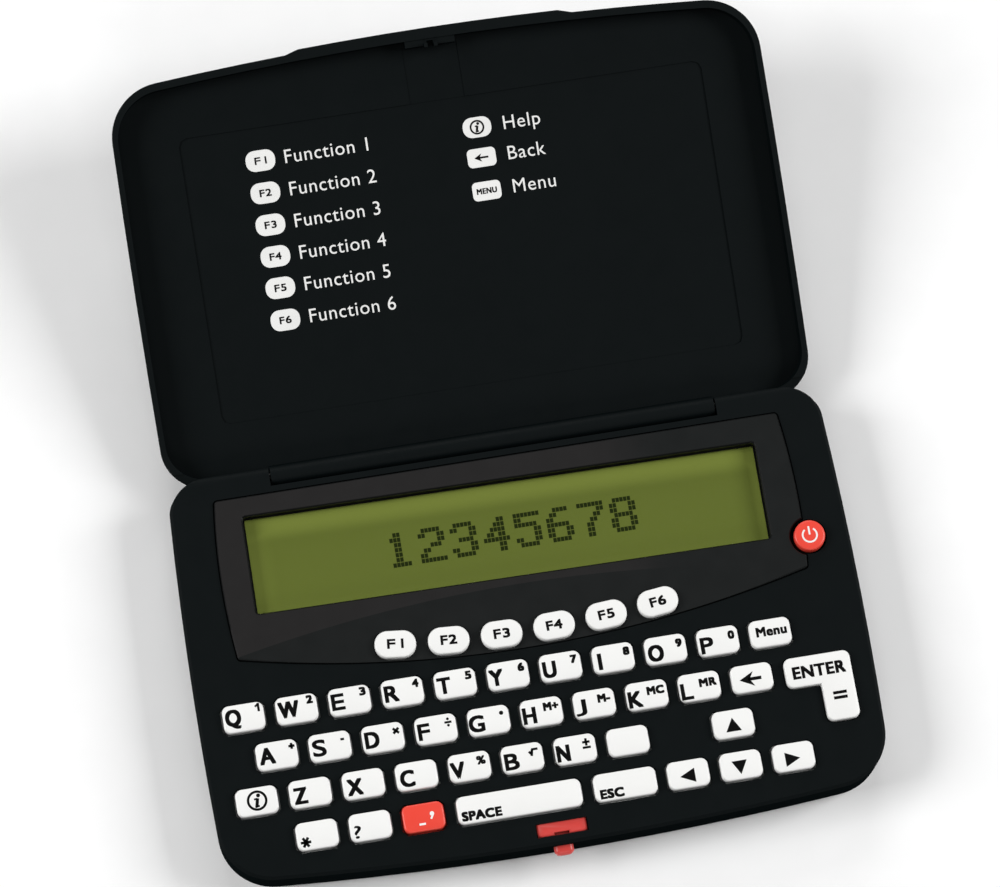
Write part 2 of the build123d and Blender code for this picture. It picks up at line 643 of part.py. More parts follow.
def make_lid():
    return make_lid_closed().rotate(HINGE, -LID_OPEN_DEG)


# --- Whole object ---
def build():
    """Every node by name."""
    outline = base_outline()
    envelope = base_envelope(outline)
    keys, holes, domes = make_keys()
    pill_holes = [pill_plan(index, KEY_GAP) for index in range(6)]
    parts = {
        "bottom_case": make_bottom_case(outline, envelope),
        "top_case": make_top_case(outline, envelope, holes),
        "display_surround": make_surround(pill_holes),
        "display_window": make_window(),
        "lcd_panel": make_lcd_panel(),
        "circuit_board": make_circuit_board(outline),
        "key_membrane": make_membrane(outline, domes),
        "lid": make_lid(),
        "hinge_pins": make_hinge_pins(),
        "latch_slider": make_latch_slider(),
        "latch_spring": make_latch_spring(),
        "battery_cover": make_battery_cover(),
        "coin_cells": make_coin_cells(),
        "case_screws": make_case_screws(),
    }
    parts.update(keys)
    return parts


def main():
    os.makedirs("parts", exist_ok=True)
    for name, shape in build().items():
        export_step(shape, f"parts/{name}.step")


if __name__ == "__main__":
    main()
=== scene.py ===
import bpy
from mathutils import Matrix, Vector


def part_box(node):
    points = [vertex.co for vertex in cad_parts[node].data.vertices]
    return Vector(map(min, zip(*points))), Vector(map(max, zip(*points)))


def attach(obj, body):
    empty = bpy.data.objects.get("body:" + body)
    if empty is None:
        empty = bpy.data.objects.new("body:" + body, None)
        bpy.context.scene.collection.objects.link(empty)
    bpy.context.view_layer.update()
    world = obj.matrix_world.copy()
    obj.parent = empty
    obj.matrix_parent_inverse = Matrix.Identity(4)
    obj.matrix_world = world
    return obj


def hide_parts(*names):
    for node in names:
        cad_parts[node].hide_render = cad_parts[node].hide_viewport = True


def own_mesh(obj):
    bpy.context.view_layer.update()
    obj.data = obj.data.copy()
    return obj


bl_info = {
    "name": "Pocket Dictionary",
    "version": (1, 0, 0),
    "blender": (4, 5, 0),
    "location": "3D View > Sidebar > Dictionary",
    "description": "Finishes a clamshell electronic dictionary: keys, printing, display, fittings and materials",
    "category": "Object",
}

from math import asin, atan2, ceil, hypot, radians

import bmesh
import bpy
from bpy.props import FloatProperty, FloatVectorProperty, PointerProperty
from mathutils import Matrix, Vector

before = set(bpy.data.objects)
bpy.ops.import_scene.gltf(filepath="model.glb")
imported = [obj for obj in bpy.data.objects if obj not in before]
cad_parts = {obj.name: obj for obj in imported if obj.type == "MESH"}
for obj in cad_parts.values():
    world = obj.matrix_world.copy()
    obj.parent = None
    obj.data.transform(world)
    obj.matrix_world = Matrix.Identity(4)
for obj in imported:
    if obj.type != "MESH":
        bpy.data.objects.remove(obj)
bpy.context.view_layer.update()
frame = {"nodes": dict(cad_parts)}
MM = 0.001
HAIR = 0.01 * MM        # positions closer than this count as the same
MERGE = 0.001 * MM      # corners closer than this are one corner
LEVEL = 0.9             # upright share of a face's normal from which the face counts as level
WINDOW_GAP = 0.15 * MM      # between the window's underside and the panel

# Where the surround's crease and the top of its display well are, as in the frame.
CREASE_RADIUS = 272 * MM
CREASE_TOP_Y = 10.75 * MM
LENS_BORDER = 2.2 * MM      # printed border of the window, most of it under the surround
WELL_TOP_Z = 11.45 * MM
BEZEL_SHADE_SPAN = 18 * MM, 32 * MM       # where painted shade darkens the surround towards its right end
DISPLAY_TURN = radians(0.7)
PAINTED_DISPLAY_LIGHT = (       # painted light at the display's edges: axis, start and end from its middle in mm, strength
    ("Y", 4.2, 7.4, 1.0),
    ("Y", -6.0, -9.4, 0.22),
    ("X", 46.0, 48.8, 1.0),
    ("X", -43.5, -48.6, 0.8),
)
UPRIGHT_IOR, LEVEL_IOR = 1.01, 1.5      # of the black plastic


# --- Colour and nodes ---
def linear(code):
    """Linear colour of an sRGB hex code."""
    shares = [int(code[i : i + 2], 16) / 255 for i in (0, 2, 4)]
    return tuple(c / 12.92 if c <= 0.04045 else ((c + 0.055) / 1.055) ** 2.4 for c in shares)


def add_node(tree, kind, inputs=None, **settings):
    """Adds a node with its settings, its input values and its links."""
    node = tree.nodes.new(kind)
    for name, value in settings.items():
        setattr(node, name, value)
    for socket, value in (inputs or {}).items():
        if isinstance(value, bpy.types.NodeSocket):
            tree.links.new(value, node.inputs[socket])
        else:
            node.inputs[socket].default_value = value
    return node


def new_material(name, **shader_values):
    """Material with one Principled shader, its constants on the shader's own sockets."""
    material = bpy.data.materials.new(name)
    material.use_nodes = True
    shader = material.node_tree.nodes["Principled BSDF"]
    for socket, value in shader_values.items():
        shader.inputs[socket.replace("_", " ")].default_value = value
    return material, material.node_tree, shader


def noise(tree, size, detail=2.0, distortion=0.0):
    """Noise on object coordinates whose features are about one size across."""
    place = add_node(tree, "ShaderNodeTexCoord").outputs["Object"]
    values = {"Vector": place, "Scale": 1 / size, "Detail": detail, "Distortion": distortion}
    return add_node(tree, "ShaderNodeTexNoise", values).outputs["Fac"]


def spread(tree, source, low, high, start=0.3, end=0.7, kind="LINEAR"):
    """Maps a value, by default noise, to a range."""
    values = {"Value": source, "From Min": start, "From Max": end, "To Min": low, "To Max": high}
    return add_node(tree, "ShaderNodeMapRange", values, interpolation_type=kind).outputs["Result"]


def reckon(tree, operation, first, second=0.0):
    """Result of a sum or a comparison."""
    return add_node(tree, "ShaderNodeMath", {0: first, 1: second}, operation=operation).outputs["Value"]


def blend(tree, share, first, second):
    """Mixes two paints by a share. Each is a colour or a node's output."""
    pair = [paint if isinstance(paint, bpy.types.NodeSocket) else (*paint, 1) for paint in (first, second)]
    inputs = {"Factor": share, "A": pair[0], "B": pair[1]}
    return add_node(tree, "ShaderNodeMix", inputs, data_type="RGBA").outputs["Result"]


def shade(colour, factor):
    return tuple(min(1.0, c * factor) for c in colour)


def moulded_plastic(name, colour, roughness, grain, depth, mottle=0.06, wander=0.05, **shader_values):
    """Finish that most of the materials vary, set up as injection-moulded plastic: grain as bump, slow drift in
    colour and gloss."""
    material, tree, shader = new_material(name, IOR=1.5, **shader_values)
    drift = noise(tree, 9 * MM, 3.0)
    tone = spread(tree, drift, 0.0, 1.0)
    paint = blend(tree, tone, shade(colour, 1 - mottle), shade(colour, 1 + mottle))
    tree.links.new(paint, shader.inputs["Base Color"])
    gloss = spread(tree, noise(tree, 4 * MM, 2.0), roughness - wander, roughness + wander)
    tree.links.new(gloss, shader.inputs["Roughness"])
    bump = add_node(
        tree, "ShaderNodeBump", {"Height": noise(tree, grain, 2.0), "Distance": depth, "Strength": 1.0}
    )
    tree.links.new(bump.outputs["Normal"], shader.inputs["Normal"])
    return material


def black_abs(colour):
    """Black ABS moulded against a spark-eroded tool: a fine even grain that keeps reflections broad and dim.
    The real grain is about 0.1 mm; it is drawn at 0.35 mm so that it shows. Upright walls have almost no
    reflection: the photograph shows them flat black, although real plastic would keep some sheen there."""
    finish = {"Specular_IOR_Level": 0.08}
    material = moulded_plastic("black_spark_textured_abs", colour, 0.56, 0.35 * MM, 0.01 * MM, 0.03, 0.03, **finish)
    tree = material.node_tree
    facing = add_node(tree, "ShaderNodeSeparateXYZ", {0: add_node(tree, "ShaderNodeTexCoord").outputs["Normal"]})
    level = reckon(tree, "ABSOLUTE", facing.outputs["Z"])
    sheen = spread(tree, level, UPRIGHT_IOR, LEVEL_IOR, 0.2, 0.9)
    tree.links.new(sheen, tree.nodes["Principled BSDF"].inputs["IOR"])
    return material


def painted_bezel(colour, facet_tone_and_shade, well_shade_colour):
    """Satin charcoal paint on ABS: smoother than the case, with a slight orange peel of about 0.8 mm.
    The lens-shaped facet below the display is darker; painted shade darkens the right end and paints the walls of the
    well near black."""
    material = moulded_plastic(
        "satin_charcoal_paint", colour, 0.42, 0.8 * MM, 0.003 * MM, 0.02, 0.03, Specular_IOR_Level=0.18
    )
    tree = material.node_tree
    shader = tree.nodes["Principled BSDF"]
    paint = shader.inputs["Base Color"].links[0].from_socket
    place = add_node(tree, "ShaderNodeTexCoord").outputs["Object"]
    centre = (0, CREASE_TOP_Y - CREASE_RADIUS, 0)
    flat = add_node(tree, "ShaderNodeVectorMath", {0: place, 1: (1, 1, 0)}, operation="MULTIPLY")
    reach = add_node(tree, "ShaderNodeVectorMath", {0: flat.outputs["Vector"], 1: centre}, operation="DISTANCE")
    below = reckon(tree, "LESS_THAN", reach.outputs["Value"], CREASE_RADIUS)
    paint = blend(tree, below, paint, facet_tone_and_shade)
    along = add_node(tree, "ShaderNodeSeparateXYZ", {0: place})
    # painted shade: the surround darkens towards its right end, into the darker facet tone
    right_end_shade = spread(tree, along.outputs["X"], 0.0, 1.0, *BEZEL_SHADE_SPAN, "SMOOTHSTEP")
    paint = blend(tree, right_end_shade, paint, facet_tone_and_shade)
    # painted shade: below the well's top and behind the crease, mostly the walls of the well, the surround is painted
    # near black
    deep = reckon(tree, "LESS_THAN", along.outputs["Z"], WELL_TOP_Z)
    rear = reckon(tree, "GREATER_THAN", along.outputs["Y"], CREASE_TOP_Y)
    paint = blend(tree, reckon(tree, "MULTIPLY", deep, rear), paint, well_shade_colour)
    tree.links.new(paint, shader.inputs["Base Color"])
    return material


def key_abs(name, colour):
    """Polished moulded ABS key: nearly flat colour, faint flow marks, soft highlight on the rolled edge."""
    return moulded_plastic(name, colour, 0.38, 0.5 * MM, 0.003 * MM, mottle=0.012, wander=0.04)


def silk_ink(name, colour):
    """Screen-printed ink: flat, slightly rough film whose coverage varies a little at 0.4 mm."""
    return moulded_plastic(name, colour, 0.6, 0.4 * MM, 0.002 * MM, mottle=0.04, Specular_IOR_Level=0.1)


def silicone_rubber(colour):
    """Moulded silicone keypad: matt, dusty surface."""
    return moulded_plastic("grey_silicone_rubber", colour, 0.75, 0.6 * MM, 0.01 * MM, mottle=0.1)


def solder_mask(colour):
    """Green solder mask over etched copper: gloss film, uneven at about 1.2 mm where tracks lie below."""
    return moulded_plastic("green_solder_mask", colour, 0.3, 1.2 * MM, 0.02 * MM, mottle=0.2)


def blackened_steel(colour):
    """Oxide-blackened steel: dark, slightly mottled at about 1 mm."""
    return moulded_plastic("blackened_steel", colour, 0.45, 1.0 * MM, 0.003 * MM, mottle=0.1, Metallic=1.0)


def nickel_steel(colour):
    """Nickel-plated steel: bright metal, very slightly uneven at 0.5 mm."""
    return moulded_plastic("nickel_plated_steel", colour, 0.3, 0.5 * MM, 0.004 * MM, Metallic=1.0)


def acrylic_window():
    """Clear acrylic lens: almost nothing but its own gloss, with a trace of haze."""
    material, tree, shader = new_material("clear_acrylic", IOR=1.49, Alpha=0.02)
    shader.inputs["Base Color"].default_value = (0.05, 0.06, 0.01, 1)
    haze = spread(tree, noise(tree, 6 * MM), 0.03, 0.09)
    tree.links.new(haze, shader.inputs["Roughness"])
    return material


def lcd_glass(colour, painted_glow):
    """Reflective olive polariser, with painted light that makes it lighter along its edges."""
    material, tree, shader = new_material("olive_lcd_polariser", IOR=1.5, Specular_IOR_Level=0.15)
    turned = add_node(
        tree,
        "ShaderNodeVectorRotate",
        {"Vector": add_node(tree, "ShaderNodeTexCoord").outputs["Object"], "Angle": DISPLAY_TURN},
        rotation_type="Z_AXIS",
    )
    place = add_node(tree, "ShaderNodeSeparateXYZ", {0: turned.outputs["Vector"]})
    low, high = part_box("display_window")
    middle = (low + high) / 2
    share = None
    for axis, start, end, strength in PAINTED_DISPLAY_LIGHT:
        centre = middle["XY".index(axis)]
        ends = centre + start * MM, centre + end * MM
        # each band paints light along one edge of the display
        painted_band = spread(tree, place.outputs[axis], 0.0, strength, *ends, "SMOOTHSTEP")
        share = reckon(tree, "ADD", share, painted_band) if share else painted_band
    paint = blend(tree, share, colour, painted_glow)
    tree.links.new(paint, shader.inputs["Base Color"])
    gloss = spread(tree, noise(tree, 0.6 * MM), 0.35, 0.5)
    tree.links.new(gloss, shader.inputs["Roughness"])
    return material


def backdrop_paper():
    """Matt white backdrop paper with a barely visible grain at 2 mm."""
    return moulded_plastic("pale_backdrop_paper", linear("FDFDFD"), 0.8, 2 * MM, 0.002 * MM, mottle=0.01)


# --- Modelling helpers ---
def only(*pieces):
    """Leaves edit mode, deselects everything and selects these, the first one active."""
    if bpy.context.object and bpy.context.object.mode != "OBJECT":
        bpy.ops.object.mode_set(mode="OBJECT")
    for thing in bpy.context.selected_objects:
        thing.select_set(False)
    for piece in pieces:
        piece.select_set(True)
    bpy.context.view_layer.objects.active = pieces[0] if pieces else None


def settle(piece):
    """Puts the piece's place, turn and scale into its mesh."""
    only(piece)
    bpy.ops.object.transform_apply(location=True, rotation=True, scale=True)


def stop_editing():
    bpy.ops.object.mode_set(mode="OBJECT")


def edit(piece):
    only(piece)
    bpy.ops.object.mode_set(mode="EDIT")
    bpy.ops.mesh.select_mode(type="VERT")
    bpy.ops.mesh.select_all(action="DESELECT")


def take_all():
    bpy.ops.mesh.select_all(action="SELECT")


def draw_out(x, y, z):
    """Extrudes the selected faces."""
    bpy.ops.mesh.extrude_region_move(TRANSFORM_OT_translate={"value": (x, y, z)})


def roll(radius, steps):
    """Bevels the selected edges."""
    bpy.ops.mesh.bevel(offset=radius, segments=steps, affect="EDGES")


def pick(piece, kind, test):
    """In edit mode, selects only the vertices, edges or faces that pass a test."""
    bpy.ops.mesh.select_mode(type="VERT")
    bpy.ops.mesh.select_all(action="DESELECT")
    bpy.ops.mesh.select_mode(type=kind)
    mesh = bmesh.from_edit_mesh(piece.data)
    for part in {"VERT": mesh.verts, "EDGE": mesh.edges, "FACE": mesh.faces}[kind]:
        if test(part):
            part.select_set(True)
    bmesh.update_edit_mesh(piece.data)


def roll_rim(piece, height, radius, steps):
    """Bevels the level edges at a height."""
    pick(piece, "EDGE", lambda edge: all(abs(v.co.z - height) < HAIR for v in edge.verts))
    roll(radius, steps)


def fresh(name="piece", scale=(1, 1, 1)):
    """The piece just made, with its place and scale put into its mesh."""
    piece = bpy.context.object
    piece.name = name
    piece.scale = scale
    settle(piece)
    return piece


def block(name, place, size):
    """New box."""
    only()
    bpy.ops.mesh.primitive_cube_add(size=1, location=place)
    return fresh(name, size)


def rod(name, radius, low, high, steps):
    """New upright cylinder between two heights."""
    only()
    bpy.ops.mesh.primitive_cylinder_add(
        vertices=steps, radius=radius, depth=high - low, location=(0, 0, (low + high) / 2)
    )
    return fresh(name)


def leave(piece, angle=40):
    """Leaves edit mode with outward faces and smooth shading across soft edges."""
    take_all()
    bpy.ops.mesh.remove_doubles(threshold=MERGE)
    bpy.ops.mesh.normals_make_consistent(inside=False)
    stop_editing()
    bpy.ops.object.shade_smooth_by_angle(angle=radians(angle))


def is_upright(edge):
    a, b = edge.verts
    return abs(a.co.z - b.co.z) > 0.1 * MM and (a.co.xy - b.co.xy).length < HAIR


def looks_up(face):
    return face.normal.z > LEVEL


def looks_down(face):
    return face.normal.z < -LEVEL


def twin(piece, name, place=(0, 0, 0), turn=0.0):
    """Copy with its own mesh, moved and turned into place."""
    only(piece)
    bpy.ops.object.duplicate(linked=False)
    other = bpy.context.object
    other.name = name
    other.rotation_euler.z = turn
    other.location = place
    settle(other)
    return other


def copy_of(node, name):
    """Copy of a node of the frame with its corners merged."""
    source = frame["nodes"][node]
    copy = bpy.data.objects.new(name, source.data.copy())
    copy.data.transform(source.matrix_world)
    bpy.context.scene.collection.objects.link(copy)
    edit(copy)
    take_all()
    bpy.ops.mesh.remove_doubles(threshold=MERGE)
    stop_editing()
    return copy


def join(name, pieces):
    only(*pieces)
    bpy.ops.object.join()
    whole = bpy.context.object
    whole.name = name
    whole.data.name = name
    return whole


def discard(piece):
    bpy.data.objects.remove(piece)


def dress(piece, material):
    piece.data.materials.clear()
    piece.data.materials.append(material)
    return piece


def belong(piece, body, slot, *nodes):
    """Hangs the piece on its body and hides the nodes it stands for; the finish slot it is given is not used."""
    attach(piece, body)
    if nodes:
        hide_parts(*nodes)


# --- Printing ---
CAP_SHARE = 0.682       # capital height of the plain typeface, as a share of its size
PLAIN_STEM = 0.144      # stroke width of the plain typeface, as a share of the capital height
BOLD = 0.235            # the same for bold type
SMALL_BOLD = 0.3        # and for the small second marks
LEVEL_STROKE = 0.9      # stroke width of the level strokes, as a share of the upright ones
STRIKE_STEP = 0.9       # longest step between two strikes, as a share of the plain stroke
STRIKE_LIFT = 0.0005 * MM


def lettering(text, cap, width=None, stem=BOLD, slant=0.0):
    """Flat mesh of a word with its baseline at the origin, squeezed to a width if one is given.
    Bold type is the word struck several times a little apart, each strike a hair higher."""
    only()
    bpy.ops.object.text_add()
    word = bpy.context.object
    word.data.body = text
    word.data.resolution_u = 4
    word.data.size = cap / CAP_SHARE
    word.data.shear = slant
    word.data.space_character = 1.08
    bpy.ops.object.convert(target="MESH")
    word = bpy.context.object
    x0, x1, _, _ = extent(word)
    thin, thick, natural = PLAIN_STEM * cap, stem * cap, x1 - x0
    width = width or natural + thick - thin
    across = (width - thick) / (natural - thin) if natural > 1.3 * thin else 1.0
    along = (cap - LEVEL_STROKE * thick) / (cap - thin)
    if thick < thin * across:
        across = width / natural
    gain_x, gain_y = width - natural * across, cap * (1 - along)
    shift(word, -x0 * across, 0, across, along)
    columns = 1 + max(0, ceil(gain_x / (STRIKE_STEP * thin * across)))
    rows = 1 + max(0, ceil(gain_y / (STRIKE_STEP * thin * along)))
    strikes = []
    for column in range(columns):
        for row in range(rows):
            x = gain_x * column / max(1, columns - 1)
            y = gain_y * row / max(1, rows - 1)
            strikes.append(twin(word, "strike", (x, y, len(strikes) * STRIKE_LIFT)))
    discard(word)
    return join("word", strikes)


def extent(piece):
    """Least and greatest x and y of a flat piece."""
    xs = [v.co.x for v in piece.data.vertices]
    ys = [v.co.y for v in piece.data.vertices]
    return min(xs), max(xs), min(ys), max(ys)


def shift(piece, x, y, across=1.0, along=1.0):
    piece.scale = (across, along, 1)
    piece.location = (x, y, 0)
    settle(piece)
    return piece


def fit_in(piece, x0, x1, y0, y1):
    """Moves and stretches flat printing into a box."""
    a0, a1, b0, b1 = extent(piece)
    across, along = (x1 - x0) * MM / (a1 - a0), (y1 - y0) * MM / (b1 - b0)
    return shift(piece, x0 * MM - a0 * across, y0 * MM - b0 * along, across, along)


def write_from(text, left, baseline, cap, width=None, stem=BOLD):
    """Word that starts at a left edge on a baseline."""
    word = lettering(text, cap * MM, width and width * MM, stem)
    return shift(word, left * MM, baseline * MM)


def write_in(text, x0, x1, y0, y1, stem=BOLD, slant=0.0):
    """Word or sign fitted to a box."""
    return fit_in(lettering(text, (y1 - y0) * MM, stem=stem, slant=slant), x0, x1, y0, y1)


def disc(radius, steps, x=0.0, y=0.0, turn=0.0, fill="NGON"):
    """Flat polygon or, without a fill, just its outline."""
    only()
    bpy.ops.mesh.primitive_circle_add(
        vertices=steps, radius=radius * MM, fill_type=fill, location=(x * MM, y * MM, 0), rotation=(0, 0, turn)
    )
    return fresh()


def wedge(x0, x1, y0, y1, turn=90):
    """Flat printed triangle, which points to the left unless it is turned."""
    return fit_in(disc(1, 3, turn=radians(turn)), x0, x1, y0, y1)


def stroke(x0, y0, x1, y1, thick=0.3):
    """Flat printed bar between two points."""
    length = hypot(x1 - x0, y1 - y0)
    bar = patch(-length / 2, length / 2, -thick / 2, thick / 2)
    bar.rotation_euler.z = atan2(y1 - y0, x1 - x0)
    bar.location = ((x0 + x1) / 2 * MM, (y0 + y1) / 2 * MM, 0)
    settle(bar)
    return bar


def spot(x, y, radius, steps=16):
    """Flat printed disc."""
    return disc(radius, steps, x, y)


def ring(x, y, outer, thick, steps=40):
    """Flat printed ring."""
    loop = disc(outer, steps, x, y, fill="NOTHING")
    edit(loop)
    take_all()
    bpy.ops.mesh.extrude_region_move()
    inner = (outer - thick) / outer
    bpy.ops.transform.resize(value=(inner, inner, 1), center_override=(x * MM, y * MM, 0))
    take_all()
    bpy.ops.mesh.normals_make_consistent(inside=False)
    stop_editing()
    if loop.data.polygons[0].normal.z < 0:
        edit(loop)
        take_all()
        bpy.ops.mesh.flip_normals()
        stop_editing()
    return loop


def patch(x0, x1, y0, y1, corner=0.0, steps=6):
    """Flat printed rectangle, its corners rounded if a radius is given."""
    only()
    bpy.ops.mesh.primitive_plane_add(size=MM, location=((x0 + x1) / 2 * MM, (y0 + y1) / 2 * MM, 0))
    flat = fresh(scale=(x1 - x0, y1 - y0, 1))
    if corner:
        edit(flat)
        take_all()
        bpy.ops.mesh.bevel(offset=corner * MM, segments=steps, affect="VERTICES")
        stop_editing()
    return flat


def print_on(cap, marks, ink):
    """Lays printed marks on a cap whose face is at its own top, and joins them to it."""
    top = max(v.co.z for v in cap.data.vertices)
    for mark in marks:
        dress(mark, ink)
        mark.location.z = top + sizes().ink_lift
        settle(mark)
    return join(cap.name, [cap, *marks])


# --- Key caps ---
FLANGE_LIP = 0.5 * MM       # the frame's keys keep this flange under the deck
FLANGE_THICK = 0.8 * MM
DOME_ROOM = 0.9 * MM        # height of the room for a dome under a cap


def cap_box(node):
    """Centre, width, length and heights of a key's cap, without its flange."""
    low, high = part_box(node)
    middle = (low + high) / 2
    width, length = high.x - low.x - 2 * FLANGE_LIP, high.y - low.y - 2 * FLANGE_LIP
    return middle, width, length, low.z, high.z


def add_flange(cap, low, width, length):
    """Widens the foot of a cap into the flange that holds it in the case."""
    pick(cap, "FACE", looks_down)
    centre = (0, 0, low + FLANGE_THICK)
    bpy.ops.mesh.extrude_region_move()
    bpy.ops.transform.resize(
        value=((width + 2 * FLANGE_LIP) / width, (length + 2 * FLANGE_LIP) / length, 1), center_override=centre
    )
    draw_out(0, 0, -FLANGE_THICK)


def hollow(cap, low, rim=0.95 * MM):
    """Recess in a cap's underside, with room for its rubber dome while it is pressed."""
    pick(cap, "FACE", lambda face: looks_down(face) and face.calc_center_median().z < low + HAIR)
    bpy.ops.mesh.inset(thickness=rim)
    draw_out(0, 0, DOME_ROOM)


def block_cap(name, width, length, low, high, corner, edge, corner_steps=6):
    """Cap with a rounded plan, centred on the origin in plan."""
    foot = low + FLANGE_THICK
    cap = block(name, (0, 0, (foot + high) / 2), (width, length, high - foot))
    edit(cap)
    pick(cap, "EDGE", is_upright)
    roll(corner, corner_steps)
    roll_rim(cap, high, edge, 3)
    add_flange(cap, low, width, length)
    hollow(cap, low)
    leave(cap)
    return cap


def enter_cap(low, high, sizes):
    """L-shaped cap: a bar whose right end is drawn down into a leg."""
    middle, width, length, _, _ = cap_box("key_enter")
    left, right = middle.x - width / 2, middle.x + width / 2
    rear, front = middle.y + length / 2, middle.y - length / 2
    shelf, inner = rear - sizes.enter_bar, right - sizes.enter_leg
    foot = low + FLANGE_THICK
    place = (left + right) / 2, (rear + shelf) / 2, (foot + high) / 2
    cap = block("cap_enter", place, (right - left, rear - shelf, high - foot))
    edit(cap)
    take_all()
    bpy.ops.mesh.bisect(plane_co=(inner, 0, 0), plane_no=(1, 0, 0))
    pick(cap, "FACE", lambda face: face.normal.y < -LEVEL and face.calc_center_median().x > inner)
    draw_out(0, front - shelf, 0)
    take_all()
    bpy.ops.mesh.dissolve_limited(angle_limit=radians(2))
    notch = Vector((inner, shelf))
    pick(cap, "EDGE", lambda line: is_upright(line) and (line.verts[0].co.xy - notch).length > 0.1 * MM)
    roll(sizes.cap_corner, 6)
    roll_rim(cap, high, sizes.cap_edge, 3)
    leave(cap)
    return cap


# --- What the keys say ---
LETTER_CAP = 3.15
LETTER_ROWS = {         # baseline of a row's first letter and how much lower each next one sits
    "qwertyuiop": (-1.38, 0.085),
    "asdfghjkl": (-1.53, 0.087),
    "zxcvbn": (-1.93, 0.02),
}
LETTER_LEFTS = {-2.98: "i", -3.15: "zxc", -3.3: "as", -3.65: "hjklnvy", -3.85: "g"}     # the others start at -3.45
LETTER_WIDTHS = {
    3.95: "w", 3.0: "qogax", 2.75: "cvykbdr", 2.58: "hutszn", 2.5: "ep", 2.3: "fl", 2.1: "j", 0.78: "i"
}
DIGITS = dict(zip("qwertyuiop", "1234567890"))
SECOND_RISE, SECOND_CAP = 2.1, 1.6     # small second marks: rise over the letter, capital height
DIGIT_LEFT, DIGIT_WIDTH = 1.97, 1.24
MEMORY_WORDS = {"h": ("M+", 0.4, 2.9), "j": ("M-", 0.7, 2.4), "k": ("MC", 0.05, 3.3), "l": ("MR", 0.0, 3.3)}
SIGNS = {           # second marks made of plain shapes
    "a": lambda: plus(2.94, 1.25, 1.14, 0.46),
    "s": lambda: [stroke(2.12, 0.97, 2.81, 0.97, 0.44)],
    "d": lambda: [stroke(2.05, 0.42, 3.1, 1.4, 0.48), stroke(2.05, 1.4, 3.1, 0.42, 0.48)],
    "f": lambda: [stroke(1.75, 0.93, 3.08, 0.93, 0.42), spot(2.42, 1.56, 0.26), spot(2.42, 0.34, 0.26)],
    "g": lambda: [spot(2.5, 1.06, 0.4)],
    "v": lambda: [write_in("%", 1.44, 3.12, 0.06, 1.69, 0.27)],
    "b": lambda: [
        stroke(1.35, 0.95, 1.7, 0.5, 0.46),
        stroke(1.75, 0.05, 2.0, 1.3, 0.46),
        stroke(1.85, 1.28, 3.05, 1.28, 0.44),
    ],
    "n": lambda: plus(2.16, 1.03, 1.4, 0.44) + [stroke(1.4, 0.0, 2.92, 0.0, 0.44)],
}
ARROWS = {          # turn and box of each arrow
    "up": (0, -1.6, 1.35, -1.5, 1.1),
    "left": (90, -1.65, 1.2, -1.75, 0.95),
    "down": (180, -1.7, 1.2, -1.7, 0.9),
    "right": (270, -1.65, 1.15, -1.75, 0.95),
}


def of_group(groups, letter, other=None):
    return next((value for value, letters in groups.items() if letter in letters), other)


def plus(x, y, size, thick):
    """Upright cross of two strokes."""
    half = size / 2
    return [stroke(x - half, y, x + half, y, thick), stroke(x, y - half, x, y + half, thick)]


def letter_marks(letter):
    """Large letter at the left of a cap with its small second mark at the upper right."""
    row = next(row for row in LETTER_ROWS if letter in row)
    first, fall = LETTER_ROWS[row]
    base = first - fall * row.index(letter)
    left, width = of_group(LETTER_LEFTS, letter, -3.45), of_group(LETTER_WIDTHS, letter)
    if letter == "j":
        hook = lettering("J", LETTER_CAP * MM, width * MM)
        marks = [fit_in(hook, left, left + width, base, base + LETTER_CAP)]
    else:
        marks = [write_from(letter.upper(), left, base, LETTER_CAP, width)]
    rise = base + SECOND_RISE
    if letter == "q":
        marks.append(patch(2.78, 3.22, rise, rise + SECOND_CAP))
        marks.append(stroke(2.38, rise + 0.96, 3.0, rise + 1.4, 0.36))
    elif letter in DIGITS:
        marks.append(write_from(DIGITS[letter], DIGIT_LEFT, rise, SECOND_CAP, DIGIT_WIDTH, SMALL_BOLD))
    if letter in MEMORY_WORDS:
        word, left, width = MEMORY_WORDS[letter]
        marks.append(write_from(word, left, rise - 0.1, SECOND_CAP, width, SMALL_BOLD))
    if letter in SIGNS:
        marks += SIGNS[letter]()
    return marks


def info_marks(x=0.06, y=0.09, outer=1.92):
    """Ringed italic i, its stem with small feet."""
    size = outer / 1.92

    def line(x0, y0, x1, y1, thick):
        return stroke(x + x0 * size, y + y0 * size, x + x1 * size, y + y1 * size, thick * size)

    return [
        ring(x, y, outer, 0.46 * size),
        line(-0.2, -1.15, 0.12, 0.42, 0.6),
        line(-0.54, 0.28, 0.12, 0.36, 0.34),
        line(-0.5, -1.2, 0.35, -1.04, 0.34),
        spot(x + 0.32 * size, y + 0.94 * size, 0.37 * size),
    ]


def back_arrow(x0=-2.4, x1=1.75, y=-0.2, half=1.4, head=2.75):
    """Arrow to the left with a solid, swept head."""
    tip = wedge(x0, x0 + head, y - half, y + half)
    edit(tip)
    pick(tip, "EDGE", lambda line: all(v.co.x > (x0 + head / 2) * MM for v in line.verts))
    bpy.ops.mesh.subdivide(number_cuts=1)
    pick(tip, "VERT", lambda vert: vert.co.x > (x0 + head / 2) * MM and abs(vert.co.y - y * MM) < half * MM / 2)
    bpy.ops.transform.translate(value=(-0.3 * head * MM, 0, 0))
    stop_editing()
    return [tip, stroke(x0 + head * 0.6, y, x1, y, 0.46 * half)]


def comma(x, y):
    """Comma: a round head and a slanted tail, which lies a hair over it."""
    tail = stroke(x + 0.24, y - 0.02, x - 0.3, y - 0.98, 0.36)
    tail.location.z = 4 * STRIKE_LIFT
    settle(tail)
    return [spot(x, y, 0.42), tail]


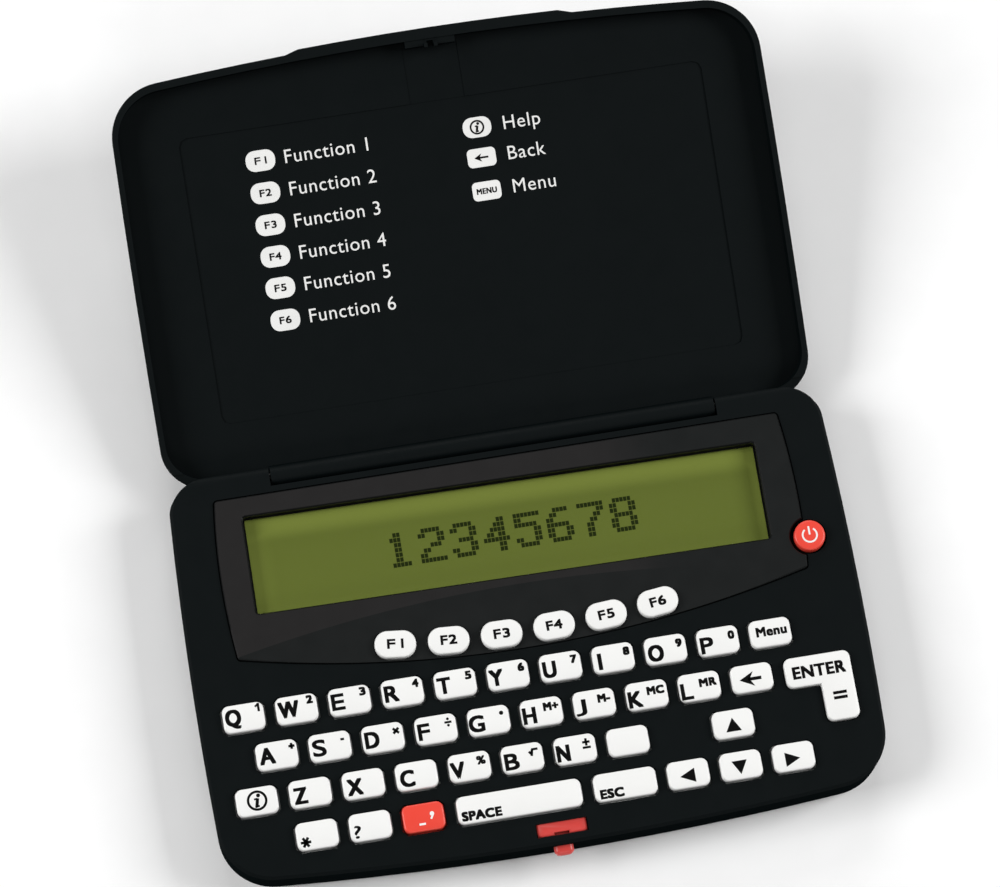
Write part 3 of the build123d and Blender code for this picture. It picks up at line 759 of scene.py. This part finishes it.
def plain_marks(name):
    """Marks of the keys that carry a word or a sign."""
    if name in ARROWS:
        turn, *box = ARROWS[name]
        return [wedge(*box, turn)]
    return {
        "menu": lambda: [write_from("Menu", -2.7, -0.62, 1.85, 5.85, 0.26)],
        "back": back_arrow,
        "info": info_marks,
        "m": lambda: [],
        "star": lambda: [
            stroke(-3.22, -1.15, -1.26, -1.15, 0.5),
            stroke(-2.73, -2.02, -1.75, -0.26, 0.5),
            stroke(-2.73, -0.26, -1.75, -2.02, 0.5),
        ],
        "question": lambda: [write_from("?", -3.1, -2.0, 2.38, 1.3, 0.2)],
        "hyphen": lambda: [patch(-0.98, 0.22, -1.5, -1.1), *comma(1.64, 0.42)],
        "space": lambda: [write_from("SPACE", -11.05, -2.1, 1.8, 7.55, 0.29)],
        "esc": lambda: [write_from("ESC", -4.95, -2.2, 1.8, 4.5, 0.29)],
    }[name]()


LETTERS = "qwertyuiopasdfghjklzxcvbn"
SQUARE_KEYS = ["menu", "back", "info", "m", "star", "question", "hyphen", "up", "left", "down", "right"]


# --- Sizes and colours a user may change ---
class DictionarySizes(bpy.types.PropertyGroup):
    cap_corner: FloatProperty(
        name="Cap corner", description="Plan radius of a key's corners", default=1.3 * MM, unit="LENGTH"
    )
    cap_edge: FloatProperty(
        name="Cap edge", description="Rolled edge around a key's face", default=0.35 * MM, unit="LENGTH"
    )
    pill_width: FloatProperty(
        name="Oval width", description="Width of an oval key", default=7.8 * MM, unit="LENGTH"
    )
    pill_length: FloatProperty(
        name="Oval length", description="Front to rear size of an oval key", default=5.15 * MM, unit="LENGTH"
    )
    pill_corner: FloatProperty(
        name="Oval corner", description="Plan radius of the oval keys", default=2.45 * MM, unit="LENGTH"
    )
    pill_arc: FloatProperty(
        name="Oval row arc", description="Radius of the arc that the oval keys follow", default=230 * MM, unit="LENGTH"
    )
    enter_bar: FloatProperty(
        name="Enter bar", description="Front to rear size of the enter key's bar", default=5.7 * MM, unit="LENGTH"
    )
    enter_leg: FloatProperty(
        name="Enter leg", description="Width of the enter key's leg", default=6.2 * MM, unit="LENGTH"
    )
    ink_lift: FloatProperty(
        name="Ink lift", description="Height of printing above its surface", default=0.02 * MM, unit="LENGTH"
    )
    dot_across: FloatProperty(
        name="Dot width pitch", description="Spacing of the display's dots across", default=0.72 * MM, unit="LENGTH"
    )
    dot_along: FloatProperty(
        name="Dot height pitch", description="Spacing of the display's dots up", default=0.97 * MM, unit="LENGTH"
    )
    digit_pitch: FloatProperty(
        name="Digit pitch", description="Spacing of the display's digits", default=6.13 * MM, unit="LENGTH"
    )


class DictionaryColours(bpy.types.PropertyGroup):
    case: FloatVectorProperty(
        name="Case", description="Case and lid", subtype="COLOR", default=linear("0A0F10")
    )
    bezel: FloatVectorProperty(
        name="Bezel", description="Display surround", subtype="COLOR", default=linear("242323")
    )
    key: FloatVectorProperty(name="Key", description="White keys", subtype="COLOR", default=linear("F4F4F2"))
    accent: FloatVectorProperty(
        name="Accent", description="Red key and power button", subtype="COLOR", default=linear("EE4A3B")
    )
    latch: FloatVectorProperty(
        name="Latch", description="Latch bar and button", subtype="COLOR", default=linear("D4453F")
    )
    ink: FloatVectorProperty(name="Ink", description="Printing on the keys", subtype="COLOR", default=linear("050505"))
    glass: FloatVectorProperty(
        name="Display", description="Display background", subtype="COLOR", default=linear("616C2D")
    )
    # painted light: the lighter colour painted along the display's edges
    painted_glow: FloatVectorProperty(
        name="Display glow", description="Lighter band of the display", subtype="COLOR", default=linear("79853B")
    )
    dots: FloatVectorProperty(
        name="Display dots", description="Dark dots of the display", subtype="COLOR", default=linear("1A2403")
    )


def sizes():
    return bpy.context.scene.dictionary_sizes


def colours():
    return bpy.context.scene.dictionary_colours


def finish_of(name, make, colour):
    """Function that gives the material of that name, made once."""
    return lambda: bpy.data.materials.get(name) or make(name, tuple(colour()))


white_plastic = finish_of("white_polished_abs", key_abs, lambda: colours().key)
red_plastic = finish_of("red_polished_abs", key_abs, lambda: colours().accent)
latch_plastic = finish_of("red_latch_abs", key_abs, lambda: colours().latch)
black_ink = finish_of("black_silk_ink", silk_ink, lambda: colours().ink)
white_ink = finish_of("white_silk_ink", silk_ink, lambda: linear("F0F0EE"))


# --- Operators ---
class DictionaryStage(bpy.types.Operator):
    """Floor, studio light and camera"""

    bl_idname = "dictionary.stage"
    bl_label = "Stage"

    def execute(self, context):
        scene = context.scene
        scene.view_settings.view_transform = "Standard"
        only()
        bpy.ops.mesh.primitive_plane_add(size=6, location=(0, 0, -0.02 * MM))
        floor = context.object
        floor.name = "studio_floor"
        dress(floor, backdrop_paper())
        self.light_studio(scene)
        self.place_camera(scene)
        return {"FINISHED"}

    def light_studio(self, scene):
        world = bpy.data.worlds.new("studio_fill")
        world.use_nodes = True
        world.node_tree.nodes["Background"].inputs["Color"].default_value = (1, 1, 1, 1)
        world.node_tree.nodes["Background"].inputs["Strength"].default_value = 0.05
        scene.world = world
        boxes = [      # name, place, size, watts
            ("softbox_left", (-1.35, 0.2, 1.0), 0.8, 20),
            ("softbox_right", (1.35, 0.0, 1.0), 0.8, 19.5),
            ("softbox_rear", (0.1, 1.6, 0.85), 0.9, 9),
            ("softbox_front", (-0.1, -1.4, 1.2), 0.8, 5.5),
        ]
        for name, place, size, power in boxes:
            only()
            bpy.ops.object.light_add(type="AREA", location=place)
            lamp = bpy.context.object
            lamp.name = name
            lamp.data.size = size
            lamp.data.energy = power
            aim = Vector((0, 0.03, 0)) - lamp.location
            lamp.rotation_euler = aim.to_track_quat("-Z", "Y").to_euler()

    def place_camera(self, scene):
        """Camera high over the keyboard, slightly to the left and turned, as a long-lens product view."""
        right = (0.9852969, -0.1683542, 0.0291023)
        down = (-0.1559212, -0.9556927, -0.2496798)
        ahead = (0.0698475, 0.241471, -0.967891)
        place = (-58.477 * MM, -167.858 * MM, 837.382 * MM)
        camera = bpy.data.objects.new("camera", bpy.data.cameras.new("camera"))
        scene.collection.objects.link(camera)
        columns = [right, [-c for c in down], [-c for c in ahead], place]
        rows = [[column[i] for column in columns] for i in range(3)]
        camera.matrix_world = Matrix(rows + [[0, 0, 0, 1]])
        camera.data.sensor_width = 36
        camera.data.lens = 162
        camera.data.dof.use_dof = False
        scene.camera = camera


class DictionaryCase(bpy.types.Operator):
    """Finishes of the case, the lid and the parts inside"""

    bl_idname = "dictionary.case"
    bl_label = "Case and inner parts"

    def execute(self, context):
        paint = colours()
        black = black_abs(tuple(paint.case))
        nodes = frame["nodes"]
        for name in ("top_case", "bottom_case", "lid", "battery_cover"):
            dress(nodes[name], black)
        # the darker facet tone, also used as painted shade at the right end, and the painted shade of the well's walls
        dress(nodes["display_surround"], painted_bezel(tuple(paint.bezel), linear("1A1C1C"), linear("060708")))
        dress(nodes["key_membrane"], silicone_rubber(linear("1B1D1E")))
        dress(nodes["circuit_board"], solder_mask(linear("17472A")))
        steel = nickel_steel(linear("B9B7B0"))
        dress(nodes["coin_cells"], steel)
        spring = dress(copy_of("latch_spring", "latch_leaf"), steel)
        belong(spring, "base", "steel", "latch_spring")
        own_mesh(spring)
        dress(nodes["hinge_pins"], blackened_steel(linear("2A2A2A")))
        return {"FINISHED"}


DOT_SHARE = 0.86    # of the dots' spacing that a dot fills


class DictionaryDisplay(bpy.types.Operator):
    """Window, panel and the dots of the display"""

    bl_idname = "dictionary.display"
    bl_label = "Display"

    DIGIT_ROWS = {
        "1": "..##... .###... ..##... ..##... ..##... ..##... .#####.",
        "2": ".#####. ##...## .....## ...###. .##.... ##..... #######",
        "3": ".#####. ##...## .....## ..####. .....## ##...## .#####.",
        "4": "....##. ...###. ..####. .##.##. ####### ....##. ....##.",
        "5": "####### ##..... ######. .....## .....## ##...## .#####.",
        "6": "..####. .##.... ##..... ######. ##...## ##...## .#####.",
        "7": "####### .....## ....##. ...##.. ..##... ..##... ..##...",
        "8": ".#####. ##...## ##...## .#####. ##...## ##...## .#####.",
    }
    FIRST_DOT = (-23.3, 24.87)      # left and rear corner of the first digit

    def execute(self, context):
        paint = colours()
        dress(frame["nodes"]["lcd_panel"], lcd_glass(tuple(paint.glass), tuple(paint.painted_glow)))
        lens = self.make_lens()
        belong(lens, "base", "window", "display_window")
        dots = self.make_dots(sizes())
        dress(dots, silk_ink("dark_liquid_crystal", tuple(paint.dots)))
        belong(dots, "base", "lcd")
        return {"FINISHED"}

    def make_lens(self):
        """Clear plate of the frame, its underside a little clear of the panel, with a black border printed on top."""
        lens = dress(copy_of("display_window", "display_lens"), acrylic_window())
        lens.data.materials.append(silk_ink("black_window_border", tuple(colours().ink)))
        low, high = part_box("display_window")
        edit(lens)
        take_all()
        bpy.ops.mesh.dissolve_limited(angle_limit=radians(1))
        pick(lens, "VERT", lambda vert: vert.co.z < low.z + 0.1 * MM)
        bpy.ops.transform.translate(value=(0, 0, WINDOW_GAP))
        pick(lens, "FACE", looks_up)
        bpy.ops.mesh.inset(thickness=LENS_BORDER)
        bpy.ops.mesh.select_all(action="INVERT")
        lens.active_material_index = 1
        rim = bmesh.from_edit_mesh(lens.data)
        for face in rim.faces:
            face.select_set(face.select and looks_up(face))
        bpy.ops.object.material_slot_assign()
        leave(lens, 20)
        return lens

    def make_dots(self, sizes):
        """Eight dot-matrix digits, every dot a copy of one oblong."""
        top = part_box("lcd_panel")[1].z + sizes.ink_lift
        across, along, step = sizes.dot_across, sizes.dot_along, sizes.digit_pitch
        left, rear = (place * MM for place in self.FIRST_DOT)
        only()
        bpy.ops.mesh.primitive_plane_add(size=1)
        dot = fresh("dot", (DOT_SHARE * across, DOT_SHARE * along, 1))
        dots = []
        for place, digit in enumerate("12345678"):
            for row, line in enumerate(self.DIGIT_ROWS[digit].split()):
                for column, mark in enumerate(line):
                    if mark == "#":
                        x = left + place * step + (column + 0.5) * across
                        y = rear - (row + 0.5) * along
                        copy = dot.copy()
                        copy.data = dot.data.copy()
                        copy.data.transform(Matrix.Translation((x, y, top)))
                        bpy.context.scene.collection.objects.link(copy)
                        dots.append(copy)
        discard(dot)
        return join("display_digits", dots)


class DictionaryLetterKeys(bpy.types.Operator):
    """White letter keys with their printing"""

    bl_idname = "dictionary.letter_keys"
    bl_label = "Letter keys"

    def execute(self, context):
        _, width, length, low, high = cap_box("key_q")
        master = block_cap("cap_master", width, length, low, high, sizes().cap_corner, sizes().cap_edge)
        dress(master, white_plastic())
        for letter in LETTERS:
            place_key(master, letter, letter_marks(letter), black_ink(), "white_key")
        for name in SQUARE_KEYS:
            if name != "hyphen":
                place_key(master, name, plain_marks(name), black_ink(), "white_key")
        dress(master, red_plastic())
        place_key(master, "hyphen", plain_marks("hyphen"), white_ink(), "red_key")
        discard(master)
        return {"FINISHED"}


def place_key(master, name, marks, ink, slot, turn=0.0):
    """Copy of a cap with its marks, turned and put on the place of its node."""
    node = f"key_{name}"
    key = twin(master, f"cap_{name}")
    if marks:
        key = print_on(key, marks, ink)
    middle = cap_box(node)[0]
    key.rotation_euler.z = turn
    key.location = (middle.x, middle.y, 0)
    settle(key)
    belong(key, node, slot, node)


class DictionaryWideKeys(bpy.types.Operator):
    """Space, escape and enter keys"""

    bl_idname = "dictionary.wide_keys"
    bl_label = "Wide keys"

    def execute(self, context):
        for name in ("space", "esc"):
            _, width, length, low, high = cap_box(f"key_{name}")
            cap = block_cap("cap_wide", width, length, low, high, sizes().cap_corner, sizes().cap_edge)
            dress(cap, white_plastic())
            place_key(cap, name, plain_marks(name), black_ink(), "white_key")
            discard(cap)
        self.make_enter()
        return {"FINISHED"}

    def make_enter(self):
        middle, width, length, low, high = cap_box("key_enter")
        cap = dress(enter_cap(low, high, sizes()), white_plastic())
        x = middle.x / MM
        bar_y = (middle.y + length / 2 - sizes().enter_bar / 2) / MM
        sign_x, sign_y = x + 3.2, bar_y - 5.5
        marks = [
            write_from("ENTER", x - 4.95, bar_y - 1.35, 2.38, 10.1, 0.25),
            *(stroke(sign_x - 1.3, sign_y + rise, sign_x + 1.3, sign_y + rise, 0.58) for rise in (0.48, -0.48)),
        ]
        key = print_on(cap, marks, black_ink())
        belong(key, "key_enter", "white_key", "key_enter")


class DictionaryFunctionKeys(bpy.types.Operator):
    """Oval function keys on their arc"""

    bl_idname = "dictionary.function_keys"
    bl_label = "Function keys"

    def execute(self, context):
        _, _, _, low, high = cap_box("key_function_1")
        width, length = sizes().pill_width, sizes().pill_length
        master = block_cap("cap_oval", width, length, low, high, sizes().pill_corner, sizes().cap_edge, 12)
        dress(master, white_plastic())
        for index in range(1, 7):
            mark = write_from(f"F{index}", -1.55, -0.9, 1.85, 3.1, 0.26)
            turn = asin(cap_box(f"key_function_{index}")[0].x / sizes().pill_arc)
            place_key(master, f"function_{index}", [mark], black_ink(), "white_key", turn)
        discard(master)
        return {"FINISHED"}


POWER_RADIUS, POWER_EDGE, POWER_RIM = 2.95 * MM, 0.45 * MM, 0.4 * MM


class DictionaryPowerButton(bpy.types.Operator):
    """Round red power button with its standby sign"""

    bl_idname = "dictionary.power_button"
    bl_label = "Power button"

    def execute(self, context):
        low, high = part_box("power_button")
        middle = (low + high) / 2
        button = rod("cap_power", POWER_RADIUS, low.z, high.z, 56)
        edit(button)
        roll_rim(button, high.z, POWER_EDGE, 4)
        hollow(button, low.z, POWER_RIM)
        leave(button)
        dress(button, red_plastic())
        loop = ring(0, 0, 1.52, 0.33)
        edit(loop)
        pick(loop, "FACE", lambda face: face.calc_center_median().y > abs(face.calc_center_median().x) * 1.5)
        bpy.ops.mesh.delete(type="FACE")
        stop_editing()
        marks = [loop, patch(-0.17, 0.17, 0.05, 1.7, 0.1)]
        button = print_on(button, marks, white_ink())
        button.location = (middle.x, middle.y, 0)
        settle(button)
        belong(button, "power_button", "red_key", "power_button")
        return {"FINISHED"}


# The latch's bar and button, and the screws, as in the frame.
BAR_FRONT, BAR_BODY_FRONT = -37.3 * MM, -36.4 * MM
BAR_LIP, BAR_FOOT, BAR_BEVEL = 0.5 * MM, 8.25 * MM, 0.28 * MM
PANEL_RIM, PANEL_SLOPE, PANEL_DEPTH = 0.12 * MM, 0.1 * MM, 0.08 * MM     # sunk panel on top of the bar
NOTCH_HALF, NOTCH_REAR = 1.4 * MM, -36.8 * MM
BUTTON_WIDE, BUTTON_HIGH, BUTTON_ROUND = 3.7 * MM, 1.9 * MM, 0.9 * MM
BUTTON_TAPER = ((0.45, 0.93), (0.15, 0.9), (0.02, 0.85))      # distance from the tip in mm, share of the width kept
SCREW_PLACES = ((-55.5, -31.0), (55.5, -31.0), (-57.2, 31.0), (57.2, 31.0))
COVER_SCREW_Y = 29.4 * MM
SCREW_HEAD, SCREW_SHANK, SCREW_ROUND = 1.57 * MM, 0.73 * MM, 0.15 * MM
CASE_SCREW_FOOT, CASE_SCREW_SHOULDER = 0.4 * MM, 1.3 * MM
COVER_SCREW_SHOULDER, COVER_SCREW_TOP = 0.6 * MM, 4.2 * MM
SCREW_CROSS = ((2.0, 0.45, 0.6), (0.45, 2.0, 0.6))     # the two slots of the cross, in mm

LID_OPEN = radians(-164)
HINGE_POINT = Vector((0, 39.4 * MM, 9.05 * MM))
LID_FACE_Z = 15.05 * MM     # floor of the shallow panel inside the closed lid


def onto_lid(piece, lift):
    """Turns flat printing over onto the inside of the closed lid, and opens the lid."""
    swing = Matrix.Translation(HINGE_POINT) @ Matrix.Rotation(LID_OPEN, 4, "X") @ Matrix.Translation(-HINGE_POINT)
    flip = Matrix.Translation((0, 0, LID_FACE_Z - lift)) @ Matrix.Rotation(radians(180), 4, "X")
    piece.matrix_world = swing @ flip
    settle(piece)
    return piece


class DictionaryLatch(bpy.types.Operator):
    """Catch bar with its release button"""

    bl_idname = "dictionary.latch"
    bl_label = "Latch"

    def execute(self, context):
        low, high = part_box("latch_slider")
        bar = self.make_bar(low, high)
        button = self.make_button(low)
        latch = dress(join("latch_catch", [bar, button]), latch_plastic())
        belong(latch, "latch", "red_latch", "latch_slider")
        return {"FINISHED"}

    def make_bar(self, low, high):
        """Bar with a thin front lip that is notched in the middle, its top edges bevelled."""
        x0, x1 = low.x, high.x
        only()
        bpy.ops.mesh.primitive_plane_add(size=1, location=((x0 + x1) / 2, (BAR_FRONT + high.y) / 2, high.z - BAR_LIP))
        bar = fresh("bar", (x1 - x0, high.y - BAR_FRONT, 1))
        edit(bar)
        for point, normal in (
            ((-NOTCH_HALF, 0, 0), (1, 0, 0)),
            ((NOTCH_HALF, 0, 0), (1, 0, 0)),
            ((0, NOTCH_REAR, 0), (0, 1, 0)),
        ):
            take_all()
            bpy.ops.mesh.bisect(plane_co=point, plane_no=normal)
        pick(bar, "FACE", self.in_notch)
        bpy.ops.mesh.delete(type="FACE")
        take_all()
        draw_out(0, 0, BAR_LIP)
        take_all()
        bpy.ops.mesh.normals_make_consistent(inside=False)
        bpy.ops.mesh.bisect(plane_co=(0, BAR_BODY_FRONT, 0), plane_no=(0, 1, 0))
        pick(bar, "FACE", lambda face: looks_down(face) and face.calc_center_median().y > BAR_BODY_FRONT)
        draw_out(0, 0, BAR_FOOT - (high.z - BAR_LIP))
        take_all()
        bpy.ops.mesh.dissolve_limited(angle_limit=radians(2))
        roll_rim(bar, high.z, BAR_BEVEL, 2)
        pick(bar, "FACE", lambda face: face.normal.z > 0.99 and face.calc_center_median().z > high.z - HAIR)
        bpy.ops.mesh.inset(thickness=PANEL_RIM)
        bpy.ops.mesh.inset(thickness=PANEL_SLOPE, depth=-PANEL_DEPTH)
        leave(bar)
        return bar

    @staticmethod
    def in_notch(face):
        middle = face.calc_center_median()
        return abs(middle.x) < NOTCH_HALF and middle.y < NOTCH_REAR

    def make_button(self, low):
        """Oval button, rounded at its tip, that reaches out through the front wall."""
        length = BAR_BODY_FRONT + 1 * MM - low.y
        place = 0, low.y + length / 2, low.z + BUTTON_HIGH / 2
        button = block("button", place, (BUTTON_WIDE, length, BUTTON_HIGH))
        edit(button)
        pick(button, "EDGE", lambda line: abs(line.verts[0].co.y - line.verts[1].co.y) > 1 * MM)
        roll(0.46 * BUTTON_HIGH, 8)
        pick(button, "EDGE", lambda line: all(v.co.y < low.y + HAIR for v in line.verts))
        roll(BUTTON_ROUND, 5)
        for reach, share in BUTTON_TAPER:
            pick(button, "VERT", lambda vert: vert.co.y < low.y + reach * MM)
            bpy.ops.transform.resize(value=(share, 1, 1), center_override=(0, 0, 0))
        leave(button)
        return button


class DictionaryScrews(bpy.types.Operator):
    """Cross-recess screws of the underside"""

    bl_idname = "dictionary.screws"
    bl_label = "Screws"

    def execute(self, context):
        low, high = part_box("case_screws")
        steel = bpy.data.materials["nickel_plated_steel"]
        case_screw = self.make_screw("case_screw", CASE_SCREW_FOOT, CASE_SCREW_SHOULDER, high.z)
        cover_screw = self.make_screw("cover_screw", low.z, COVER_SCREW_SHOULDER, COVER_SCREW_TOP)
        screws = [twin(case_screw, "screw", (x * MM, y * MM, 0)) for x, y in SCREW_PLACES]
        screws.append(twin(cover_screw, "screw", (0, COVER_SCREW_Y, 0)))
        discard(case_screw)
        discard(cover_screw)
        screws = dress(join("cross_recess_screws", screws), steel)
        belong(screws, "base", "steel", "case_screws")
        return {"FINISHED"}

    def make_screw(self, name, low, shoulder, top):
        """Screw that points up, its head below with a cross cut into it."""
        screw = rod(name, SCREW_HEAD, low, shoulder, 32)
        edit(screw)
        roll_rim(screw, low, SCREW_ROUND, 2)
        pick(screw, "FACE", looks_up)
        bpy.ops.mesh.extrude_region_move()
        slim = SCREW_SHANK / SCREW_HEAD
        bpy.ops.transform.resize(value=(slim, slim, 1), center_override=(0, 0, shoulder))
        draw_out(0, 0, top - shoulder)
        leave(screw)
        for size in SCREW_CROSS:
            slot = block("slot", (0, 0, low), [MM * side for side in size])
            only(screw)
            bpy.ops.object.modifier_add(type="BOOLEAN")
            cut = screw.modifiers[-1]
            cut.operation = "DIFFERENCE"
            cut.object = slot
            bpy.ops.object.modifier_apply(modifier=cut.name)
            discard(slot)
        return screw


class DictionaryLidPrinting(bpy.types.Operator):
    """Key guide printed inside the lid"""

    bl_idname = "dictionary.lid_printing"
    bl_label = "Lid printing"

    ROWS = (20.2, 14.0, 7.85, 1.75, -4.3, -10.5)
    GUIDE = (("Help", 20.25), ("Back", 14.4), ("Menu", 8.0))

    def execute(self, context):
        white, black = [], []
        for index, y in enumerate(self.ROWS):
            white.append(patch(-38.0, -32.35, y - 2.0, y + 2.0, 1.75))
            white.append(write_from(f"Function {index + 1}", -30.5, y - 1.2, 2.5, stem=PLAIN_STEM))
            black.append(write_from(f"F{index + 1}", -36.3, y - 0.7, 1.4, width=2.3))
        for word, y in self.GUIDE:
            corner = 1.75 if word == "Help" else 0.9
            half = 1.95 if word == "Help" else 1.8
            white.append(patch(3.95, 9.45, y - half, y + half, corner))
            white.append(write_from(word, 11.8, y - 1.15, 2.5, stem=PLAIN_STEM))
        black += info_marks(6.7, 20.25, 1.4)
        black += back_arrow(5.3, 8.0, 14.4, 0.8, 1.4)
        black.append(write_from("MENU", 4.75, 7.45, 1.1, width=3.9))
        for mark in white:
            dress(mark, white_ink())
        for mark in black:
            dress(mark, black_ink())
            mark.location.z = sizes().ink_lift
        guide = join("lid_guide_print", white + black)
        onto_lid(guide, sizes().ink_lift)
        belong(guide, "lid", "white_key")
        return {"FINISHED"}


class DictionaryPanel(bpy.types.Panel):
    """Lists the sizes, colours and steps of the dictionary"""

    bl_label = "Dictionary"
    bl_idname = "VIEW3D_PT_dictionary"
    bl_space_type = "VIEW_3D"
    bl_region_type = "UI"
    bl_category = "Dictionary"

    def draw(self, context):
        for group in (context.scene.dictionary_sizes, context.scene.dictionary_colours):
            for name in group.__annotations__:
                self.layout.prop(group, name)
        for step in STEPS:
            self.layout.operator(step.bl_idname)


STEPS = (
    DictionaryStage,
    DictionaryCase,
    DictionaryDisplay,
    DictionaryLetterKeys,
    DictionaryWideKeys,
    DictionaryFunctionKeys,
    DictionaryPowerButton,
    DictionaryLatch,
    DictionaryScrews,
    DictionaryLidPrinting,
)
CLASSES = (DictionarySizes, DictionaryColours, *STEPS, DictionaryPanel)


def register():
    for item in CLASSES:
        bpy.utils.register_class(item)
    bpy.types.Scene.dictionary_sizes = PointerProperty(type=DictionarySizes)
    bpy.types.Scene.dictionary_colours = PointerProperty(type=DictionaryColours)


def unregister():
    del bpy.types.Scene.dictionary_colours
    del bpy.types.Scene.dictionary_sizes
    for item in reversed(CLASSES):
        bpy.utils.unregister_class(item)


def main():
    register()
    for step in STEPS:
        group, name = step.bl_idname.split(".")
        getattr(getattr(bpy.ops, group), name)()


if __name__ == "__main__":
    main()
